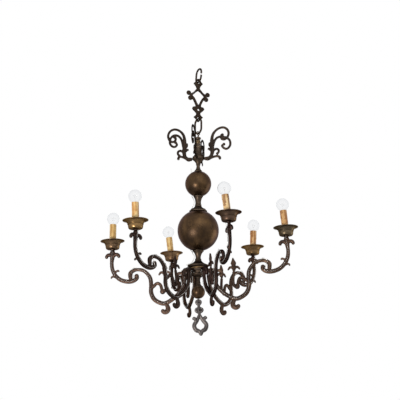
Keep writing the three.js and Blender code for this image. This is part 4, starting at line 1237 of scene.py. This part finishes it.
def arm_lead(i):
    """Clear twin flex along the side of the arm, from under the cup to the plate."""
    side = LEAD_SIDE[i]
    radius = ARM_LEAD
    off = side * (ARM_HALF_DEPTH + radius + SEAT_GAP)
    crossing = [(0.76, 0.02), (0.775, 0.17), (0.73, 0.27)]
    shares = OUTER_SCROLL[1:8] + crossing + INNER_SCROLL[4:]
    start_height = ARM_RISE - 5
    end_height = INNER_SCROLL[-1][1] * ARM_DROP - TANG_HEIGHT / 2 - 2
    start = side * (BOSS_RADIUS + radius + LOOSE_GAP)
    route = [(ARM_REACH, start, start_height), (ARM_REACH, off, start_height - 17)]
    route += [(x, off, z) for x, z in map(arm_point, shares)]
    route.append((PLATE + SEAT_GAP + radius, off, end_height))
    shell = twin(evenly(smooth_through(route, 8), 170), radius, side)
    number = str(i + 1)
    smooth_piece("flex_" + number, shell, FLEX, "arm_lead_" + number, arm_place(i))


def twin(line, radius, turns):
    """Two round cores side by side inside a lead of the given radius, laid with a slow twist."""
    core = radius * 0.5
    strands = []
    for sign in (-1, 1):
        moved_line = []
        for k, p in enumerate(line):
            along = (line[min(k + 1, len(line) - 1)] - line[max(k - 1, 0)]).normalized()
            steady = Vector((0, 0, 1)) if abs(along.z) < 0.8 else Vector((1, 0, 0))
            first = (steady - along * steady.dot(along)).normalized()
            second = along.cross(first)
            a = turns * 2 * math.pi * k / 60
            moved_line.append(p + (first * math.cos(a) + second * math.sin(a)) * sign * core)
        strands.append(tube(moved_line, core * 0.98, 8))
    return merged(strands)


def arms():
    blank = casting("arm_blank", arm_shells(), ARM_VOXEL)
    cup = cup_shell()
    for i in range(ARM_COUNT):
        number = str(i + 1)
        place = arm_place(i)
        cast_piece(blank, "scroll_arm_" + number, ARMS[i], "arm_" + number, place)
        on_boss = place @ shift(ARM_REACH, 0, ARM_RISE + SEAT_GAP)
        smooth_piece("cup_" + number, cup, CUPS[i], "drip_cup_" + number, on_boss, sharp=50)
        arm_lead(i)
        sleeve(i)
        holder(i)
        bulb(i)
    discard(blank)


def supply_lead():
    """Clear twin flex down the back left of the stem."""
    clear = SUPPLY_LEAD + LEAD_GAP

    def out(distance, turn, z):
        a = math.radians(turn + VIEW_TURN)
        return distance * math.cos(a), distance * math.sin(a), z

    def around(node, *ways):
        off, centre = BALLS[node] + clear, ball_centre(node)
        return [out(off * math.sin(math.radians(polar)), turn, centre + off * math.cos(math.radians(polar)))
                for polar, turn in ways]

    neck = top_of("middle_neck")
    waist = neck - MIDDLE_NECK * 0.44
    foot = neck - MIDDLE_NECK
    low_top = top_of("lower_neck")
    low_waist = low_top - LOWER_NECK * 0.4
    route = [
        out(30, 150, ball_centre("small_ball") + BALLS["small_ball"] + 14),
        *around("small_ball", (38, 140), (65, 118), (90, 110), (120, 118), (150, 145)),
        out(MIDDLE_SEAT * 0.9 + clear, 160, neck - 6), out(MIDDLE_WAIST + clear + 1, 168, waist + 4),
        out(BALL_CAP * 0.62 + clear + 3, 150, foot + 11), out(BALL_CAP + clear + 3, 128, foot + 1),
        *around("big_ball", (50, 112), (70, 108), (92, 108), (115, 110), (138, 122), (160, 140)),
        out(LOWER_SEAT * 0.9 + clear, 155, low_top - 6), out(LOWER_WAIST + clear + 1.5, 165, low_waist + 2),
        out(BELL * 0.42 + clear + 3, 172, low_waist - 17),
        out(BELL + clear, 176, low_top - LOWER_NECK + BELL_LIP + 5),
    ]
    shell = twin(evenly(smooth_through(route, 10), 240), SUPPLY_LEAD, 1)
    smooth_piece("flex_supply", shell, FLEX, "supply_lead")


# The room

def studio():
    scene = bpy.context.scene
    scene.view_settings.view_transform = "Standard"
    world = bpy.data.worlds.new("studio")
    scene.world = world
    world.use_nodes = True
    tree = world.node_tree
    tree.nodes.clear()
    path = add(tree, "LightPath").outputs
    seen = maths(tree, "MAXIMUM", path["Is Camera Ray"], path["Is Glossy Ray"])
    seen = maths(tree, "MAXIMUM", seen, path["Is Transmission Ray"])
    white = add(tree, "Background", {"Color": (1, 1, 1, 1), "Strength": 1.0}).outputs[0]
    room = add(tree, "Background", {"Color": (0.98, 0.99, 1, 1), "Strength": 0.55}).outputs[0]
    add(tree, "OutputWorld", {"Surface": add(tree, "MixShader", {0: seen, 1: room, 2: white}).outputs[0]})
    floor_mesh = bpy.data.meshes.new("floor")
    reach = 14
    corners = [(-reach, -reach), (reach, -reach), (reach, reach), (-reach, reach)]
    floor_mesh.from_pydata([(x, y, FLOOR_HEIGHT) for x, y in corners], [], [(0, 1, 2, 3)])
    material, tree, shader = new_material("pale_floor")
    tone = ramp(tree, noise(tree, 3, 3), 0.3, 0.7, 0.9, 0.94)
    connect(tree, shader, {"Base Color": tone, "Roughness": 0.9})
    floor_mesh.materials.append(material)
    link("floor", floor_mesh)


def lamp(name, location, target, size, power, tone=(1, 1, 1)):
    light = bpy.data.lights.new(name, "AREA")
    light.shape = "DISK"
    light.size = size
    light.energy = power
    light.color = tone
    obj = link(name, light)
    obj.location = location
    obj.rotation_euler = (target - location).to_track_quat("-Z", "Y").to_euler()


def camera_frame():
    a, e = math.radians(CAMERA_AZIMUTH), math.radians(CAMERA_ELEVATION)
    back = Vector((math.sin(a) * math.cos(e), -math.cos(a) * math.cos(e), math.sin(e)))
    right = Vector((math.cos(a), math.sin(a), 0))
    return right, back.cross(right), back


def camera_and_lamps():
    right, up, back = camera_frame()
    aim = Vector((0, 0, AIM_HEIGHT))
    data = bpy.data.cameras.new("camera")
    data.lens = FOCAL
    data.sensor_width = SENSOR
    data.shift_x = AXIS_SHIFT / IMAGE
    data.clip_end = 60
    camera = link("camera", data)
    camera.location = aim + back * CAMERA_DISTANCE
    camera.rotation_euler = back.to_track_quat("Z", "Y").to_euler()
    bpy.context.scene.camera = camera
    centre = Vector((0, 0, -0.62))
    toward = lambda x, y, z: centre + (right * x + up * y + back * z)
    lamp("key", toward(-1.35, -0.45, 2.45), centre, 0.6, 54, (1, 0.94, 0.87))
    lamp("side", toward(2.3, -0.9, -0.9), centre, 2.4, 18, (0.95, 0.97, 1))
    lamp("fill", toward(0.6, 2.2, 1.8), centre, 2.6, 11)


def scene():
    camera_and_lamps()
    studio()
    top_ring()
    stem_ring()
    suspension_link()
    stem_eye()
    crown_hub()
    crown_brackets()
    ball("ball_small", "small_ball", ball_radius("small_ball"))
    ball("ball_big", "big_ball", ball_radius("big_ball"))
    middle_neck()
    lower_neck()
    clamp_and_plate()
    lower_stem()
    drop_ornament()
    arms()
    supply_lead()
    frame["nodes"]["tie_rod"].data.materials.clear()
    frame["nodes"]["tie_rod"].data.materials.append(STEEL)


scene()
